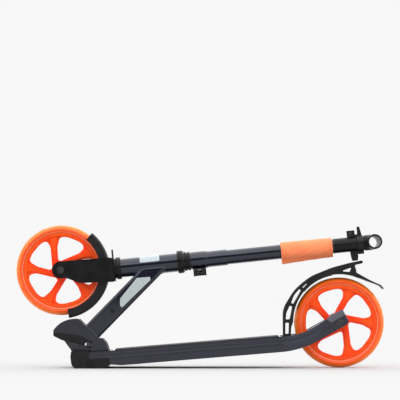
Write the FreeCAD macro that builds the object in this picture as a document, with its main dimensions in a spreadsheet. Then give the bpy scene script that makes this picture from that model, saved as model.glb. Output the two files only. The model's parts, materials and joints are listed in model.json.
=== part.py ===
import FreeCAD, Part
import math
import os

import Sketcher
from FreeCAD import Placement, Rotation, Vector

# A folding two-wheel kick scooter, stored folded: the steering column lies back over the deck
# and the object rests on its rear wheel and on the flat nose block of the deck.
# Frame: +Z up, -X is the riding direction, +Y is the rider's right in this folded pose.
# The origin is under the middle of the whole object, on the ground.

DIMENSIONS = {
    "wheel_radius": 87.5,
    "tyre_width": 28.0,
    "tyre_seat_radius": 74.0,
    "rim_inner_radius": 66.8,
    "rim_width": 21.0,
    "web_width": 12.0,
    "rib_width": 17.0,
    "hub_radius": 17.0,
    "hub_width": 26.0,
    "spoke_count": 5,
    "bearing_radius": 11.0,
    "bearing_bore": 4.0,
    "bearing_width": 7.0,
    "axle_radius": 3.94,
    "spacer_radius": 7.0,
    "spacer_bore": 4.05,
    "sleeve_clear_bore": 4.3,
    "spoke_offset": 11.0,
    "rear_axle_x": 271.1,
    "column_height": 209.24,
    "column_tilt": 5.88,
    "front_axle_along": -271.5,
    "fork_rake": 7.8,
    "deck_height": 48.4,
    "deck_tilt": 4.7,
    "deck_half_width": 58.0,
    "rail_height": 30.0,
    "rail_thickness": 9.0,
    "arm_tilt": 29.9,
    "arm_inner_y": 20.5,
    "pivot_x": -242.2,
    "pivot_z": 42.4,
    "cheek_thickness": 5.0,
    "cheek_inner_y": 20.0,
    "knuckle_width": 39.0,
    "pivot_bolt_radius": 4.0,
    "bush_bore": 4.06,
    "bush_radius": 7.0,
    "lock_reach": 27.6,
    "lock_travel": 7.6,
    "lock_skewer_radius": 3.0,
    "lock_slot_radius": 3.35,
    "fold_angle": 82.5,
    "down_tube_tilt": 45.7,
    "down_tube_depth": 35.4,
    "down_tube_width": 34.0,
    "down_tube_wall": 2.5,
    "head_tube_radius": 18.4,
    "head_tube_bore": 16.5,
    "head_tube_start": -155.1,
    "head_tube_length": 110.9,
    "steerer_radius": 15.8,
    "steerer_bore": 14.4,
    "upper_tube_radius": 14.3,
    "upper_tube_bore": 12.3,
    "sleeve_radius": 19.2,
    "sleeve_bore": 14.35,
    "sleeve_start": 158.8,
    "sleeve_length": 100.6,
    "bar_radius": 14.45,
    "bar_socket_radius": 11.0,
    "bar_length": 90.0,
    "bar_along": 339.8,
    "fork_arm_thickness": 5.0,
    "fork_arm_inner_y": 21.0,
    "fender_radius": 94.4,
    "fender_width": 37.0,
    "guard_inner_radius": 92.3,
    "guard_shell": 3.2,
    "guard_width": 39.0,
    "guard_inner_width": 33.0,
    "brake_x": 165.4,
    "brake_z": 43.2,
    "brake_pin_radius": 3.0,
    "foot_width": 122.0,
    "deck_plate_length": 370.5,
    "grip_length": 318.0,
    "grip_width": 106.0,
    "grip_thickness": 1.2,
    "screw_radius": 2.5,
}

doc = FreeCAD.newDocument("KickScooter")
sheet = doc.addObject("Spreadsheet::Sheet", "Dims")
for row, (alias, value) in enumerate(DIMENSIONS.items(), start=1):
    sheet.set(f"A{row}", alias)
    sheet.set(f"B{row}", str(value))
    sheet.setAlias(f"B{row}", alias)
doc.recompute()

nodes = []


def size(alias):
    """The number behind one alias of the sheet."""
    return DIMENSIONS[alias]


def bind(obj, prop, source):
    """Set a property from an alias or formula of the sheet, or from a plain number."""
    if isinstance(source, str):
        obj.setExpression(prop, source)
    else:
        setattr(obj, prop, source)


def keep(obj, label):
    """Name a finished sub-part and list it for export."""
    obj.Label = label
    nodes.append(obj)
    return obj


# ---------------------------------------------------------------- frames

def tilted(x, z, degrees, y=0.0):
    """A frame whose local X climbs by the given angle in the side view."""
    return Placement(Vector(x, y, z), Rotation(Vector(0, 1, 0), -degrees))


def shifted(frame, x=0.0, y=0.0, z=0.0):
    return frame.multiply(Placement(Vector(x, y, z), Rotation()))


def facing_side(x, z, spin=0.0):
    """A frame whose local XY plane is the side view and whose local Z is -Y."""
    turn = Rotation(Vector(1, 0, 0), 90).multiply(Rotation(Vector(0, 0, 1), spin))
    return Placement(Vector(x, 0, z), turn)


WORLD = Placement()
COLUMN = tilted(0, size("column_height"), size("column_tilt"))
DECK = tilted(0, size("deck_height"), size("deck_tilt"))
ARM = tilted(size("rear_axle_x"), size("wheel_radius"), size("arm_tilt"))
PIVOT = Vector(size("pivot_x"), 0, size("pivot_z"))
TUBE_OFFSET = -4.3
DOWN_TUBE = shifted(tilted(PIVOT.x, PIVOT.z, size("down_tube_tilt")), z=TUBE_OFFSET)
FRONT_AXLE = COLUMN.multVec(Vector(size("front_axle_along"), 0, size("fork_rake")))
REAR_AXLE = Vector(size("rear_axle_x"), 0, size("wheel_radius"))
ALONG_X = Rotation(Vector(0, 1, 0), 90)
ALONG_Y = Rotation(Vector(1, 0, 0), -90)


def on_column(along, up=0.0):
    """A point of the column frame as (x, z) in the side view."""
    point = COLUMN.multVec(Vector(along, 0, up))
    return point.x, point.z


def on_deck(along, up):
    point = DECK.multVec(Vector(along, 0, up))
    return point.x, point.z


def on_arm(along, up):
    point = ARM.multVec(Vector(along, 0, up))
    return point.x, point.z


def around(centre, radius, degrees):
    """A point of the side view at a radius and angle from a centre."""
    angle = math.radians(degrees)
    return centre.x + radius * math.cos(angle), centre.z + radius * math.sin(angle)


# ---------------------------------------------------------------- outlines

def arc_between(centre, radius, first, second):
    """The short arc of a circle between two of its points, drawn counter-clockwise."""
    start = math.atan2(first[1] - centre[1], first[0] - centre[0])
    end = math.atan2(second[1] - centre[1], second[0] - centre[0])
    if (end - start) % (2 * math.pi) > math.pi:
        start, end = end, start
    if end < start:
        end += 2 * math.pi
    circle = Part.Circle(Vector(centre[0], centre[1], 0), Vector(0, 0, 1), radius)
    return Part.ArcOfCircle(circle, start, end)


def outline_curves(points):
    """Lines and corner arcs of a closed outline; a point is (x, y) or (x, y, corner radius)."""
    entries = []
    count = len(points)
    for index, point in enumerate(points):
        corner = Vector(point[0], point[1], 0)
        radius = point[2] if len(point) > 2 else 0.0
        if radius == 0.0:
            entries.append((corner, corner, None))
            continue
        before = points[index - 1]
        after = points[(index + 1) % count]
        back = (Vector(before[0], before[1], 0) - corner).normalize()
        ahead = (Vector(after[0], after[1], 0) - corner).normalize()
        half = back.getAngle(ahead) / 2
        reach = radius / math.tan(half)
        middle = (back + ahead).normalize()
        centre = corner + middle * (radius / math.sin(half))
        entries.append((corner + back * reach, corner + ahead * reach, (centre, radius)))
    curves = []
    for index, (start, end, corner_arc) in enumerate(entries):
        if corner_arc:
            centre, radius = corner_arc
            curves.append(arc_between((centre.x, centre.y), radius, (start.x, start.y), (end.x, end.y)))
        following = entries[(index + 1) % count][0]
        if (following - end).Length > 1e-6:
            curves.append(Part.LineSegment(end, following))
    return curves


def slot_points(centre, toward, half_width, length):
    """A slot with round ends that starts round a centre and runs by length toward an angle."""
    angle = math.radians(toward)
    run = (math.cos(angle), math.sin(angle))
    side = (-run[1], run[0])
    back = -half_width
    front = length + half_width
    corners = ((back, 1), (back, -1), (front, -1), (front, 1))
    points = []
    for reach, sign in corners:
        x = centre[0] + run[0] * reach + side[0] * half_width * sign
        y = centre[1] + run[1] * reach + side[1] * half_width * sign
        points.append((x, y, half_width * 0.999))
    return points


# ---------------------------------------------------------------- PartDesign helpers

def new_body(name):
    return doc.addObject("PartDesign::Body", name)


def new_sketch(body, plane_role):
    plane = next(f for f in body.Origin.OriginFeatures if f.Role == plane_role)
    sketch = body.newObject("Sketcher::SketchObject", body.Name + "_sketch")
    sketch.AttachmentSupport = [(plane, "")]
    sketch.MapMode = "FlatFace"
    return sketch


def draw_circle(sketch, centre, radius):
    """A circle whose radius is an alias of the sheet or a plain number."""
    value = size(radius) if isinstance(radius, str) else radius
    circle = Part.Circle(Vector(centre[0], centre[1], 0), Vector(0, 0, 1), value)
    geometry = sketch.addGeometry(circle, False)
    constraint = sketch.addConstraint(Sketcher.Constraint("Radius", geometry, value))
    if isinstance(radius, str):
        sketch.setExpression(f"Constraints[{constraint}]", "Dims." + radius)


def add_pad(body, sketch, thickness, symmetric=True):
    feature = body.newObject("PartDesign::Pad", body.Name + "_pad")
    feature.Profile = sketch
    feature.SideType = "Symmetric" if symmetric else "One side"
    bind(feature, "Length", thickness)
    return feature


def add_through_pocket(body, sketch):
    """Cut a sketch right through, both ways from its plane."""
    feature = body.newObject("PartDesign::Pocket", body.Name + "_pocket")
    feature.Profile = sketch
    feature.Type = "ThroughAll"
    feature.SideType = "Symmetric"
    return feature


def add_pattern(body, original, sketch, count):
    """Repeat a feature round the axis of a sketch."""
    pattern = body.newObject("PartDesign::PolarPattern", body.Name + "_pattern")
    pattern.Originals = [original]
    pattern.Axis = (sketch, ["N_Axis"])
    pattern.Angle = 360
    bind(pattern, "Occurrences", count)
    body.Tip = pattern
    return pattern


def plate(name, outline, thickness, frame=WORLD, holes=(), windows=(), plane="XZ_Plane"):
    """A flat piece: an outline padded both ways, with round holes and other openings."""
    body = new_body(name)
    base = new_sketch(body, plane)
    base.addGeometry(outline_curves(outline), False)
    add_pad(body, base, thickness)
    if holes or windows:
        cuts = new_sketch(body, plane)
        for x, y, radius in holes:
            draw_circle(cuts, (x, y), radius)
        for window in windows:
            cuts.addGeometry(outline_curves(window), False)
        add_through_pocket(body, cuts)
    body.Placement = frame
    return body


def tube(name, outer, inner, length, frame=WORLD):
    """A round tube along the local Z of its frame."""
    body = new_body(name)
    section = new_sketch(body, "XY_Plane")
    draw_circle(section, (0, 0), outer)
    draw_circle(section, (0, 0), inner)
    add_pad(body, section, length, symmetric=False)
    body.Placement = frame
    return body


def turned(name, curves, frame=WORLD):
    """A lathe-turned piece: a closed profile in (radius, height) round the local Z."""
    body = new_body(name)
    section = new_sketch(body, "XZ_Plane")
    section.addGeometry(curves, False)
    feature = body.newObject("PartDesign::Revolution", name + "_revolution")
    feature.Profile = section
    feature.ReferenceAxis = (section, ["V_Axis"])
    feature.Angle = 360
    body.Placement = frame
    return body


# ---------------------------------------------------------------- Part helpers

def cylinder(name, radius, length, frame):
    """A solid cylinder along the local Z of its frame."""
    obj = doc.addObject("Part::Cylinder", name)
    bind(obj, "Radius", radius)
    bind(obj, "Height", length)
    obj.Placement = frame
    return obj


def cross_rod(name, radius, x, z, start, end):
    """A cylinder along Y between two sideways positions."""
    return cylinder(name, radius, end - start, Placement(Vector(x, start, z), ALONG_Y))


def box(name, low, high, frame=WORLD):
    """A block between two corners of a frame."""
    obj = doc.addObject("Part::Box", name)
    obj.Length = high[0] - low[0]
    obj.Width = high[1] - low[1]
    obj.Height = high[2] - low[2]
    obj.Placement = shifted(frame, *low)
    return obj


def fuse(name, pieces):
    obj = doc.addObject("Part::MultiFuse", name)
    obj.Shapes = pieces
    obj.Refine = True
    return obj


def cut(name, base, tool):
    obj = doc.addObject("Part::Cut", name)
    obj.Base = base
    obj.Tool = tool
    obj.Refine = True
    return obj


def common(name, base, tool):
    obj = doc.addObject("Part::Common", name)
    obj.Base = base
    obj.Tool = tool
    return obj


def group(name, pieces):
    """Separate identical pieces that share one node."""
    obj = doc.addObject("Part::Compound", name)
    obj.Links = pieces
    return obj


def mirrored_y(name, source):
    """The other hand of a piece, on the far side of the middle plane."""
    obj = doc.addObject("Part::Mirroring", name)
    obj.Source = source
    obj.Normal = Vector(0, 1, 0)
    obj.Base = Vector(0, 0, 0)
    return obj


def hex_prism(name, across, x, z, start, end):
    """A hexagonal nut or socket along Y."""
    obj = doc.addObject("Part::Prism", name)
    obj.Polygon = 6
    obj.Circumradius = across / math.sqrt(3)
    obj.Height = end - start
    obj.Placement = Placement(Vector(x, start, z), ALONG_Y)
    return obj


def socket_bolt(name, shaft_radius, head_radius, x, z, head_y, shaft_y, end_y, socket=5.0):
    """A bolt along Y: a round head from head_y to shaft_y, then its shaft to end_y."""
    head = cross_rod(name + "_head", head_radius, x, z, head_y, shaft_y)
    shaft = cross_rod(name + "_shaft", shaft_radius, x, z, shaft_y - 0.5, end_y)
    key = hex_prism(name + "_key", socket, x, z, head_y - 1, head_y + 2.5)
    return cut(name, fuse(name + "_blank", [head, shaft]), key)


def hex_nut(name, across, bore, x, z, start, end):
    blank = hex_prism(name + "_blank", across, x, z, start, end)
    hole = cross_rod(name + "_hole", bore, x, z, start - 1, end + 1)
    return cut(name, blank, hole)


def ring_pair(name, outer, inner, length, x, z, starts):
    """Two equal rings along Y that share one node."""
    rings = []
    for index, start in enumerate(starts):
        frame = Placement(Vector(x, start, z), ALONG_Y)
        rings.append(tube(f"{name}_{index + 1}", outer, inner, length, frame))
    return group(name, rings)


# ---------------------------------------------------------------- wheels

def spoke_point(index, along, beside, radius=0.0):
    """A point beside the straight, off-centre spoke number 0 or 1 of a wheel."""
    turn = math.radians(index * 360 / size("spoke_count"))
    offset = size("spoke_offset") + beside
    x = along * math.cos(turn) - offset * math.sin(turn)
    y = along * math.sin(turn) + offset * math.cos(turn)
    return (x, y, radius) if radius else (x, y)


def spoke_window():
    """The opening between two neighbouring spokes; its outer side follows the rim's ring."""
    outer_side = []
    for degrees in (36.0, 57.0):
        angle = math.radians(degrees)
        outer_side.append((65.7 * math.cos(angle), 65.7 * math.sin(angle), 35.0))
    return [
        spoke_point(0, 0.5, 6.0, 5.0), spoke_point(0, 46.0, 6.6, 20.0), spoke_point(0, 60.3, 13.6, 8.0),
        *outer_side, spoke_point(1, 65.2, -12.5, 8.0), spoke_point(1, 46.0, -6.6, 20.0),
    ]


SHOULDER_RADIUS = 79.0


def wheel(prefix, axle, spin):
    """Cast rim, poured tyre, two bearings and the sleeve between them."""
    frame = facing_side(axle.x, axle.z, spin)
    rim = new_body(prefix + "_rim")
    disc = new_sketch(rim, "XY_Plane")
    draw_circle(disc, (0, 0), size("rim_inner_radius") + 4)
    add_pad(rim, disc, "Dims.web_width")
    opening = new_sketch(rim, "XY_Plane")
    opening.addGeometry(outline_curves(spoke_window()), False)
    window = add_through_pocket(rim, opening)
    add_pattern(rim, window, disc, "Dims.spoke_count")
    ring = new_sketch(rim, "XY_Plane")
    draw_circle(ring, (0, 0), "tyre_seat_radius")
    draw_circle(ring, (0, 0), "rim_inner_radius")
    add_pad(rim, ring, "Dims.rim_width")
    rib = new_sketch(rim, "XY_Plane")
    half_rib = ((6.0, 5.0, 0.0), (27.0, 3.4, 15.0), (50.0, 3.6, 25.0), (70.0, 9.5, 0.0))
    upper = [spoke_point(0, along, beside, bend) for along, beside, bend in half_rib]
    lower = [spoke_point(0, along, -beside, bend) for along, beside, bend in reversed(half_rib)]
    rib.addGeometry(outline_curves(upper + lower), False)
    raised = add_pad(rim, rib, "Dims.rib_width")
    add_pattern(rim, raised, disc, "Dims.spoke_count")
    hub = new_sketch(rim, "XY_Plane")
    draw_circle(hub, (0, 0), "hub_radius")
    add_pad(rim, hub, "Dims.hub_width")
    bore = new_sketch(rim, "XY_Plane")
    draw_circle(bore, (0, 0), "bearing_radius")
    add_through_pocket(rim, bore)
    rim.Placement = frame
    keep(rim, prefix + "_rim")

    seat = size("tyre_seat_radius")
    half = size("tyre_width") / 2
    rise = size("wheel_radius") - SHOULDER_RADIUS
    crown = (half ** 2 + rise ** 2) / (2 * rise)
    corners = [(SHOULDER_RADIUS, half), (seat, half - 3), (seat, -half + 3), (SHOULDER_RADIUS, -half)]
    curves = [
        Part.LineSegment(Vector(*start, 0), Vector(*end, 0)) for start, end in zip(corners, corners[1:])
    ]
    curves.append(arc_between((size("wheel_radius") - crown, 0.0), crown, corners[-1], corners[0]))
    keep(turned(prefix + "_tyre", curves, frame), prefix + "_tyre")

    hub_face = size("hub_width") / 2
    width = size("bearing_width")
    bearings = ring_pair(
        prefix + "_bearings", "bearing_radius", "bearing_bore", "Dims.bearing_width",
        axle.x, axle.z, (-hub_face, hub_face - width),
    )
    keep(bearings, prefix + "_bearings")
    inner_gap = hub_face - width
    sleeve_frame = Placement(Vector(axle.x, -inner_gap, axle.z), ALONG_Y)
    sleeve = tube(prefix + "_bearing_sleeve", "spacer_radius", "sleeve_clear_bore",
                  2 * inner_gap, sleeve_frame)
    keep(sleeve, prefix + "_bearing_sleeve")


def axle_set(prefix, axle, inner_y, outer_y, head_depth, end_y):
    """Axle bolt with a hex socket and its nut, and the two spacers beside the hub."""
    bolt = socket_bolt(
        prefix + "_axle_screw", "Dims.axle_radius", 7.0, axle.x, axle.z,
        -outer_y - head_depth, -outer_y, end_y,
    )
    nut = hex_nut(prefix + "_axle_nut", 13.0, "Dims.axle_radius", axle.x, axle.z, outer_y, outer_y + 6.0)
    keep(group(prefix + "_axle_bolt", [bolt, nut]), prefix + "_axle_bolt")
    hub_gap = size("hub_width") / 2 + 0.35
    spacers = ring_pair(
        prefix + "_axle_spacers", "spacer_radius", "spacer_bore", inner_y - hub_gap,
        axle.x, axle.z, (-inner_y, hub_gap),
    )
    keep(spacers, prefix + "_axle_spacers")


wheel("rear", REAR_AXLE, -11.7)
wheel("front", FRONT_AXLE, 22.0)

# ---------------------------------------------------------------- deck frame

RAIL_FRONT_X = -213.2
ARM_TOP = 18.2
ARM_BOTTOM = -9.8
ARM_END = 15.3
BEND_TOP = 110.0
BEND_BOTTOM = 190.0


def crossing(point_a, tilt_a, point_b, tilt_b):
    """Where two lines of the side view meet, each given by a point and a slope angle."""
    slope_a = math.tan(math.radians(tilt_a))
    slope_b = math.tan(math.radians(tilt_b))
    x = (point_b[1] - point_a[1] + slope_a * point_a[0] - slope_b * point_b[0]) / (slope_a - slope_b)
    return x, point_a[1] + slope_a * (x - point_a[0])


def rail_edge_corner(deck_up, arm_up):
    """The corner where a line along the rail turns up into the line along the arm."""
    return crossing(on_deck(0, deck_up), size("deck_tilt"), on_arm(0, arm_up), size("arm_tilt"))


def deck_height_at(x, up):
    """Height of a line along the deck at a position X of the side view."""
    start = on_deck(0, up)
    return start[1] + (x - start[0]) * math.tan(math.radians(size("deck_tilt")))


rail_depth = size("rail_height")
top_corner = rail_edge_corner(0, ARM_TOP)
bottom_corner = rail_edge_corner(-rail_depth, ARM_BOTTOM)
CHAMFER_X = -150.0
rail_outline = [
    (RAIL_FRONT_X, deck_height_at(RAIL_FRONT_X, 0), 2.0),
    top_corner + (BEND_TOP,),
    on_arm(ARM_END, ARM_TOP) + (3.0,),
    on_arm(ARM_END, ARM_BOTTOM) + (5.0,),
    bottom_corner + (BEND_BOTTOM,),
    (CHAMFER_X, deck_height_at(CHAMFER_X, -rail_depth)),
    (RAIL_FRONT_X, 10.3, 2.0),
]
GROOVE_TOP = 10.4
GROOVE_BOTTOM = 12.0
groove_outline = [
    (-230.0, deck_height_at(-230.0, -GROOVE_TOP)),
    rail_edge_corner(-GROOVE_TOP, ARM_TOP - GROOVE_TOP) + (BEND_TOP + GROOVE_TOP,),
    on_arm(30.0, ARM_TOP - GROOVE_TOP),
    on_arm(30.0, ARM_TOP - GROOVE_BOTTOM),
    rail_edge_corner(-GROOVE_BOTTOM, ARM_TOP - GROOVE_BOTTOM) + (BEND_TOP + GROOVE_BOTTOM,),
    (-230.0, deck_height_at(-230.0, -GROOVE_BOTTOM)),
]

deck_edge = size("deck_half_width")
rail_wall = size("rail_thickness")
arm_inner = size("arm_inner_y")
arm_outer = arm_inner + rail_wall
SWEEP_START = 166.0
SWEEP_END = 238.0
SWEEP_RADIUS = 80.0
sweep_angle = math.atan2(deck_edge - arm_outer, SWEEP_END - SWEEP_START)
corner_shift = rail_wall * math.tan(sweep_angle / 2)


def rail_plan(outer_cut):
    """Plan view of the left rail: straight beside the deck, then swept in to the wheel."""
    wall = rail_wall if outer_cut is None else outer_cut
    reach = 0.0 if outer_cut is None else 3.0
    shift = wall * math.tan(sweep_angle / 2)
    outset = reach * math.tan(sweep_angle / 2)
    return [
        (RAIL_FRONT_X - 20, -deck_edge - reach),
        (SWEEP_START + outset, -deck_edge - reach, SWEEP_RADIUS),
        (SWEEP_END + outset, -arm_outer - reach, SWEEP_RADIUS),
        (310.0, -arm_outer - reach),
        (310.0, -arm_outer + wall),
        (SWEEP_END - shift, -arm_outer + wall, SWEEP_RADIUS),
        (SWEEP_START - shift, -deck_edge + wall, SWEEP_RADIUS),
        (RAIL_FRONT_X - 20, -deck_edge + wall),
    ]


GROOVE_DEPTH = 1.0
rail_side = plate("rail_side_view", rail_outline, 140.0)
rail_top = plate("rail_plan_view", rail_plan(None), 400.0, plane="XY_Plane")
groove_side = plate("groove_side_view", groove_outline, 140.0)
groove_top = plate("groove_plan_view", rail_plan(GROOVE_DEPTH), 400.0, plane="XY_Plane")
rail_blank = common("rail_blank", rail_side, rail_top)
rail_groove = common("rail_groove", groove_side, groove_top)
rail_grooved = cut("rail_grooved", rail_blank, rail_groove)
AXLE_CLEARANCE = 3.96
rail_holes = fuse("rail_holes", [
    cross_rod("rail_axle_hole", AXLE_CLEARANCE, REAR_AXLE.x, REAR_AXLE.z, -70, 70),
    cross_rod("rail_head_recess", 7.6, REAR_AXLE.x, REAR_AXLE.z, -70, -arm_outer + 2.0),
    cross_rod("rail_brake_hole", "Dims.brake_pin_radius", size("brake_x"), size("brake_z"), -70, 70),
])
rail_left = keep(cut("deck_rail_left", rail_grooved, rail_holes), "deck_rail_left")
keep(mirrored_y("deck_rail_right", rail_left), "deck_rail_right")

deck_wall = deck_edge - rail_wall
rib_rows = (-36.0, -12.0, 12.0, 36.0)
deck_section = [(-deck_wall, 0.0), (deck_wall, 0.0), (deck_wall, -4.0)]
for row in reversed(rib_rows):
    deck_section += [(row + 1.5, -4.0), (row + 1.5, -16.0), (row - 1.5, -16.0), (row - 1.5, -4.0)]
deck_section += [(-deck_wall, -4.0)]
deck_body = new_body("deck_plate_blank")
deck_sketch = new_sketch(deck_body, "YZ_Plane")
deck_sketch.addGeometry(outline_curves(deck_section), False)
add_pad(deck_body, deck_sketch, "Dims.deck_plate_length", symmetric=False)
DECK_PLATE_START = -214.0
deck_body.Placement = shifted(DECK, x=DECK_PLATE_START)
front_notch = box("deck_front_notch", (-240, -25.4, -30), (-170.0, 25.4, 10), DECK)
rib_relief = box("deck_rib_relief", (-240, -60, -30), (-112.0, 60, -4), DECK)
keep(cut("deck_plate", deck_body, fuse("deck_front_cuts", [front_notch, rib_relief])), "deck_plate")

grip_half = size("grip_width") / 2
grip_start = -165.0
grip_end = grip_start + size("grip_length")
grip_outline = [
    (grip_start, -grip_half, 14.0), (grip_end, -grip_half, 14.0),
    (grip_end, grip_half, 14.0), (grip_start, grip_half, 14.0),
]
grip_frame = shifted(DECK, z=size("grip_thickness") / 2)
keep(plate("grip_tape", grip_outline, "Dims.grip_thickness", grip_frame, plane="XY_Plane"), "grip_tape")

# Nose block: the moulded plastic end of the deck that the folded scooter stands on.
FOOT_BACK_X = -174.0
foot_outline = [
    (-247.5, 33.5, 3.0), (-249.0, 22.0, 8.0), (-246.0, 0.0, 11.0), (-186.0, 0.0, 6.0),
    (FOOT_BACK_X, 4.5, 3.0), (FOOT_BACK_X, 21.0, 3.0), (-213.3, 18.5), (-213.3, 33.5),
]
foot_block = plate("foot_block", foot_outline, "Dims.foot_width")
foot_hollow = box("foot_hollow", (-213.3, -58.3, 7.9), (-160, 58.3, 60))
foot_slot = box("foot_slot", (-260, -26.2, 10.0), (-205, 26.2, 60))
foot_ribs = []
for step in range(3):
    rib_x = -218.0 + 5.2 * step
    for side in (-1, 1):
        low = 60.5 if side > 0 else -62.0
        high = low + 1.5
        foot_ribs.append(box(f"foot_rib_{step}_{side + 1}", (rib_x, low, 2.5), (rib_x + 2.4, high, 17.0)))
foot_shell = cut("foot_shell", foot_block, fuse("foot_cuts", [foot_hollow, foot_slot]))
keep(fuse("front_foot", [foot_shell] + foot_ribs), "front_foot")

# ---------------------------------------------------------------- fold hinge on the deck

LOCK_ANGLE = 6.0
lock_home = around(PIVOT, size("lock_reach"), LOCK_ANGLE)
lock_seat = around(PIVOT, size("lock_reach") - size("lock_travel"), LOCK_ANGLE)
cheek_inner = size("cheek_inner_y")
cheek_outer = cheek_inner + size("cheek_thickness")
CHEEK_ARC = 51.6
cheek_outline = [
    (-250.5, 35.0, 3.0),
    (-266.0, 55.5, 4.0),
    (-284.5, 64.0, 2.5),
    around(PIVOT, CHEEK_ARC * 1.01, 144.0) + (6.0,),
    around(PIVOT, CHEEK_ARC * 1.045, 123.0) + (45.0,),
    around(PIVOT, CHEEK_ARC * 1.035, 98.0) + (45.0,),
    (-234.4, 93.9, 2.0),
    (-197.2, 57.3, 2.0),
    (-188.4, 56.4, 6.0),
    (-180.9, 47.6, 12.0),
    (-176.0, 33.0, 3.0),
    (-176.0, 14.0, 2.0),
    (-238.0, 14.0, 4.0),
    (-246.0, 26.0, 6.0),
]
cheek_screws = [(-196.0, 22.0), (-182.5, 22.0)]
cheek_holes = [(PIVOT.x, PIVOT.z, "pivot_bolt_radius")]
cheek_holes += [(x, z, "screw_radius") for x, z in cheek_screws]
lock_slot = slot_points(lock_seat, LOCK_ANGLE, size("lock_slot_radius"), size("lock_travel"))
for label, side in (("hinge_cheek_left", -1), ("hinge_cheek_right", 1)):
    middle = side * (cheek_inner + cheek_outer) / 2
    placed = tilted(0, 0, 0, y=middle)
    keep(plate(label, cheek_outline, "Dims.cheek_thickness", placed, cheek_holes, [lock_slot]), label)

base_floor = box("hinge_base_floor", (-212.0, -49.0, 8.0), (-116.0, 49.0, 14.0))
base_block = box("hinge_base_block", (-206.5, -20.0, 13.0), (-172.0, 20.0, 31.0))
base_holes = [
    cross_rod(f"hinge_base_hole_{index}", "Dims.screw_radius", x, z, -30, 30)
    for index, (x, z) in enumerate(cheek_screws)
]
base_solid = fuse("hinge_base_solid", [base_floor, base_block])
keep(cut("hinge_base", base_solid, fuse("hinge_base_holes", base_holes)), "hinge_base")

hinge_screws = []
for index, (x, z) in enumerate(cheek_screws):
    for side in (-1, 1):
        screw = socket_bolt(
            f"hinge_screw_{index}_{side + 1}", "Dims.screw_radius", 4.5, x, z,
            -cheek_outer - 2.8, -cheek_outer, -8.0, 2.5,
        )
        hinge_screws.append(screw if side < 0 else mirrored_y(f"hinge_screw_{index}_far", screw))
keep(group("hinge_screws", hinge_screws), "hinge_screws")

pivot_bolt = socket_bolt(
    "fold_pivot_bolt", "Dims.pivot_bolt_radius", 7.5, PIVOT.x, PIVOT.z,
    -cheek_outer - 4.5, -cheek_outer, cheek_outer + 7.0,
)
keep(pivot_bolt, "fold_pivot_bolt")
keep(hex_nut("fold_pivot_nut", 13.0, "Dims.pivot_bolt_radius", PIVOT.x, PIVOT.z,
             cheek_outer, cheek_outer + 6.5), "fold_pivot_nut")

# ---------------------------------------------------------------- fold lock

CAM_Y = -33.0
LEVER_TILT = 164.0
SKEWER_END = cheek_outer + 7.0
EYE_HALF = 3.6
lever_frame = tilted(lock_home[0], lock_home[1], LEVER_TILT, y=CAM_Y)
flange_y = -cheek_outer - 2.4
skewer_shaft = cross_rod("lock_skewer_shaft", "Dims.lock_skewer_radius", lock_home[0], lock_home[1],
                         CAM_Y + 1, SKEWER_END)
skewer_flange = cross_rod("lock_skewer_flange", 5.5, lock_home[0], lock_home[1], flange_y, flange_y + 2.0)
skewer_cap = hex_prism("lock_skewer_cap", 10.0, lock_home[0], lock_home[1],
                       cheek_outer + 0.4, cheek_outer + 5.4)
skewer_eye = box("lock_skewer_eye", (-EYE_HALF, -EYE_HALF, -3.0), (EYE_HALF, flange_y - CAM_Y, 3.0),
                 lever_frame)
skewer_eye_hole = cylinder("lock_skewer_eye_hole", 2.08, 20.0, shifted(lever_frame, z=-10.0))
skewer_solid = fuse("lock_skewer_solid", [skewer_shaft, skewer_eye, skewer_flange, skewer_cap])
keep(cut("lock_skewer", skewer_solid, skewer_eye_hole), "lock_skewer")

lever_outline = [
    (-4.5, -5.8, 4.3), (24.0, -10.5, 12.0), (58.0, -5.5, 20.0), (71.5, -4.0, 3.0),
    (71.5, 3.0, 3.0), (52.0, 6.5, 20.0), (20.0, 5.0, 20.0), (-4.5, 6.2, 4.3),
]
lever_arm = plate("lock_lever_arm", lever_outline, 4.6, shifted(lever_frame, y=-0.4))
lever_boss = cylinder("lock_lever_boss", 4.6, 12.4, shifted(lever_frame, z=-6.2))
lever_slot = box("lock_lever_slot", (-9.0, -12.0, -3.3), (7.5, 12.0, 3.3), lever_frame)
lever_pin_hole = cylinder("lock_lever_pin_hole", 2.0, 30.0, shifted(lever_frame, z=-15.0))
lever_solid = fuse("lock_lever_solid", [lever_arm, lever_boss])
lever_cuts = fuse("lock_lever_cuts", [lever_slot, lever_pin_hole])
keep(cut("lock_lever", lever_solid, lever_cuts), "lock_lever")
keep(cylinder("lock_cam_pin", 2.0, 12.4, shifted(lever_frame, z=-6.2)), "lock_cam_pin")

# ---------------------------------------------------------------- neck: knuckle, down tube, head tube

KNUCKLE_RIM = 24.0
TUBE_START = 42.3
half_depth = size("down_tube_depth") / 2


def on_down_tube(along, up):
    point = DOWN_TUBE.multVec(Vector(along, 0, up))
    return point.x, point.z


hub_round = cross_rod("knuckle_hub", 10.4, PIVOT.x, PIVOT.z, -19.5, 19.5)
knuckle_outline = [
    around(PIVOT, 9.0, 195.0),
    around(PIVOT, 10.3, 250.0),
    around(PIVOT, KNUCKLE_RIM, 262.0) + (1.5,),
    around(PIVOT, KNUCKLE_RIM * 1.035, 277.0) + (20.0,),
    around(PIVOT, KNUCKLE_RIM * 1.05, 305.0) + (20.0,),
    around(PIVOT, KNUCKLE_RIM * 1.05, 335.0) + (20.0,),
    around(PIVOT, KNUCKLE_RIM * 1.035, 364.0) + (20.0,),
    around(PIVOT, KNUCKLE_RIM, 384.0) + (2.0,),
    on_down_tube(TUBE_START, -half_depth),
    on_down_tube(TUBE_START, half_depth),
    on_down_tube(18.0, 14.5) + (12.0,),
]
RIDE_NOTCH_ANGLE = LOCK_ANGLE - size("fold_angle")
notch_reach = size("lock_reach") - size("lock_travel")
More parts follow.
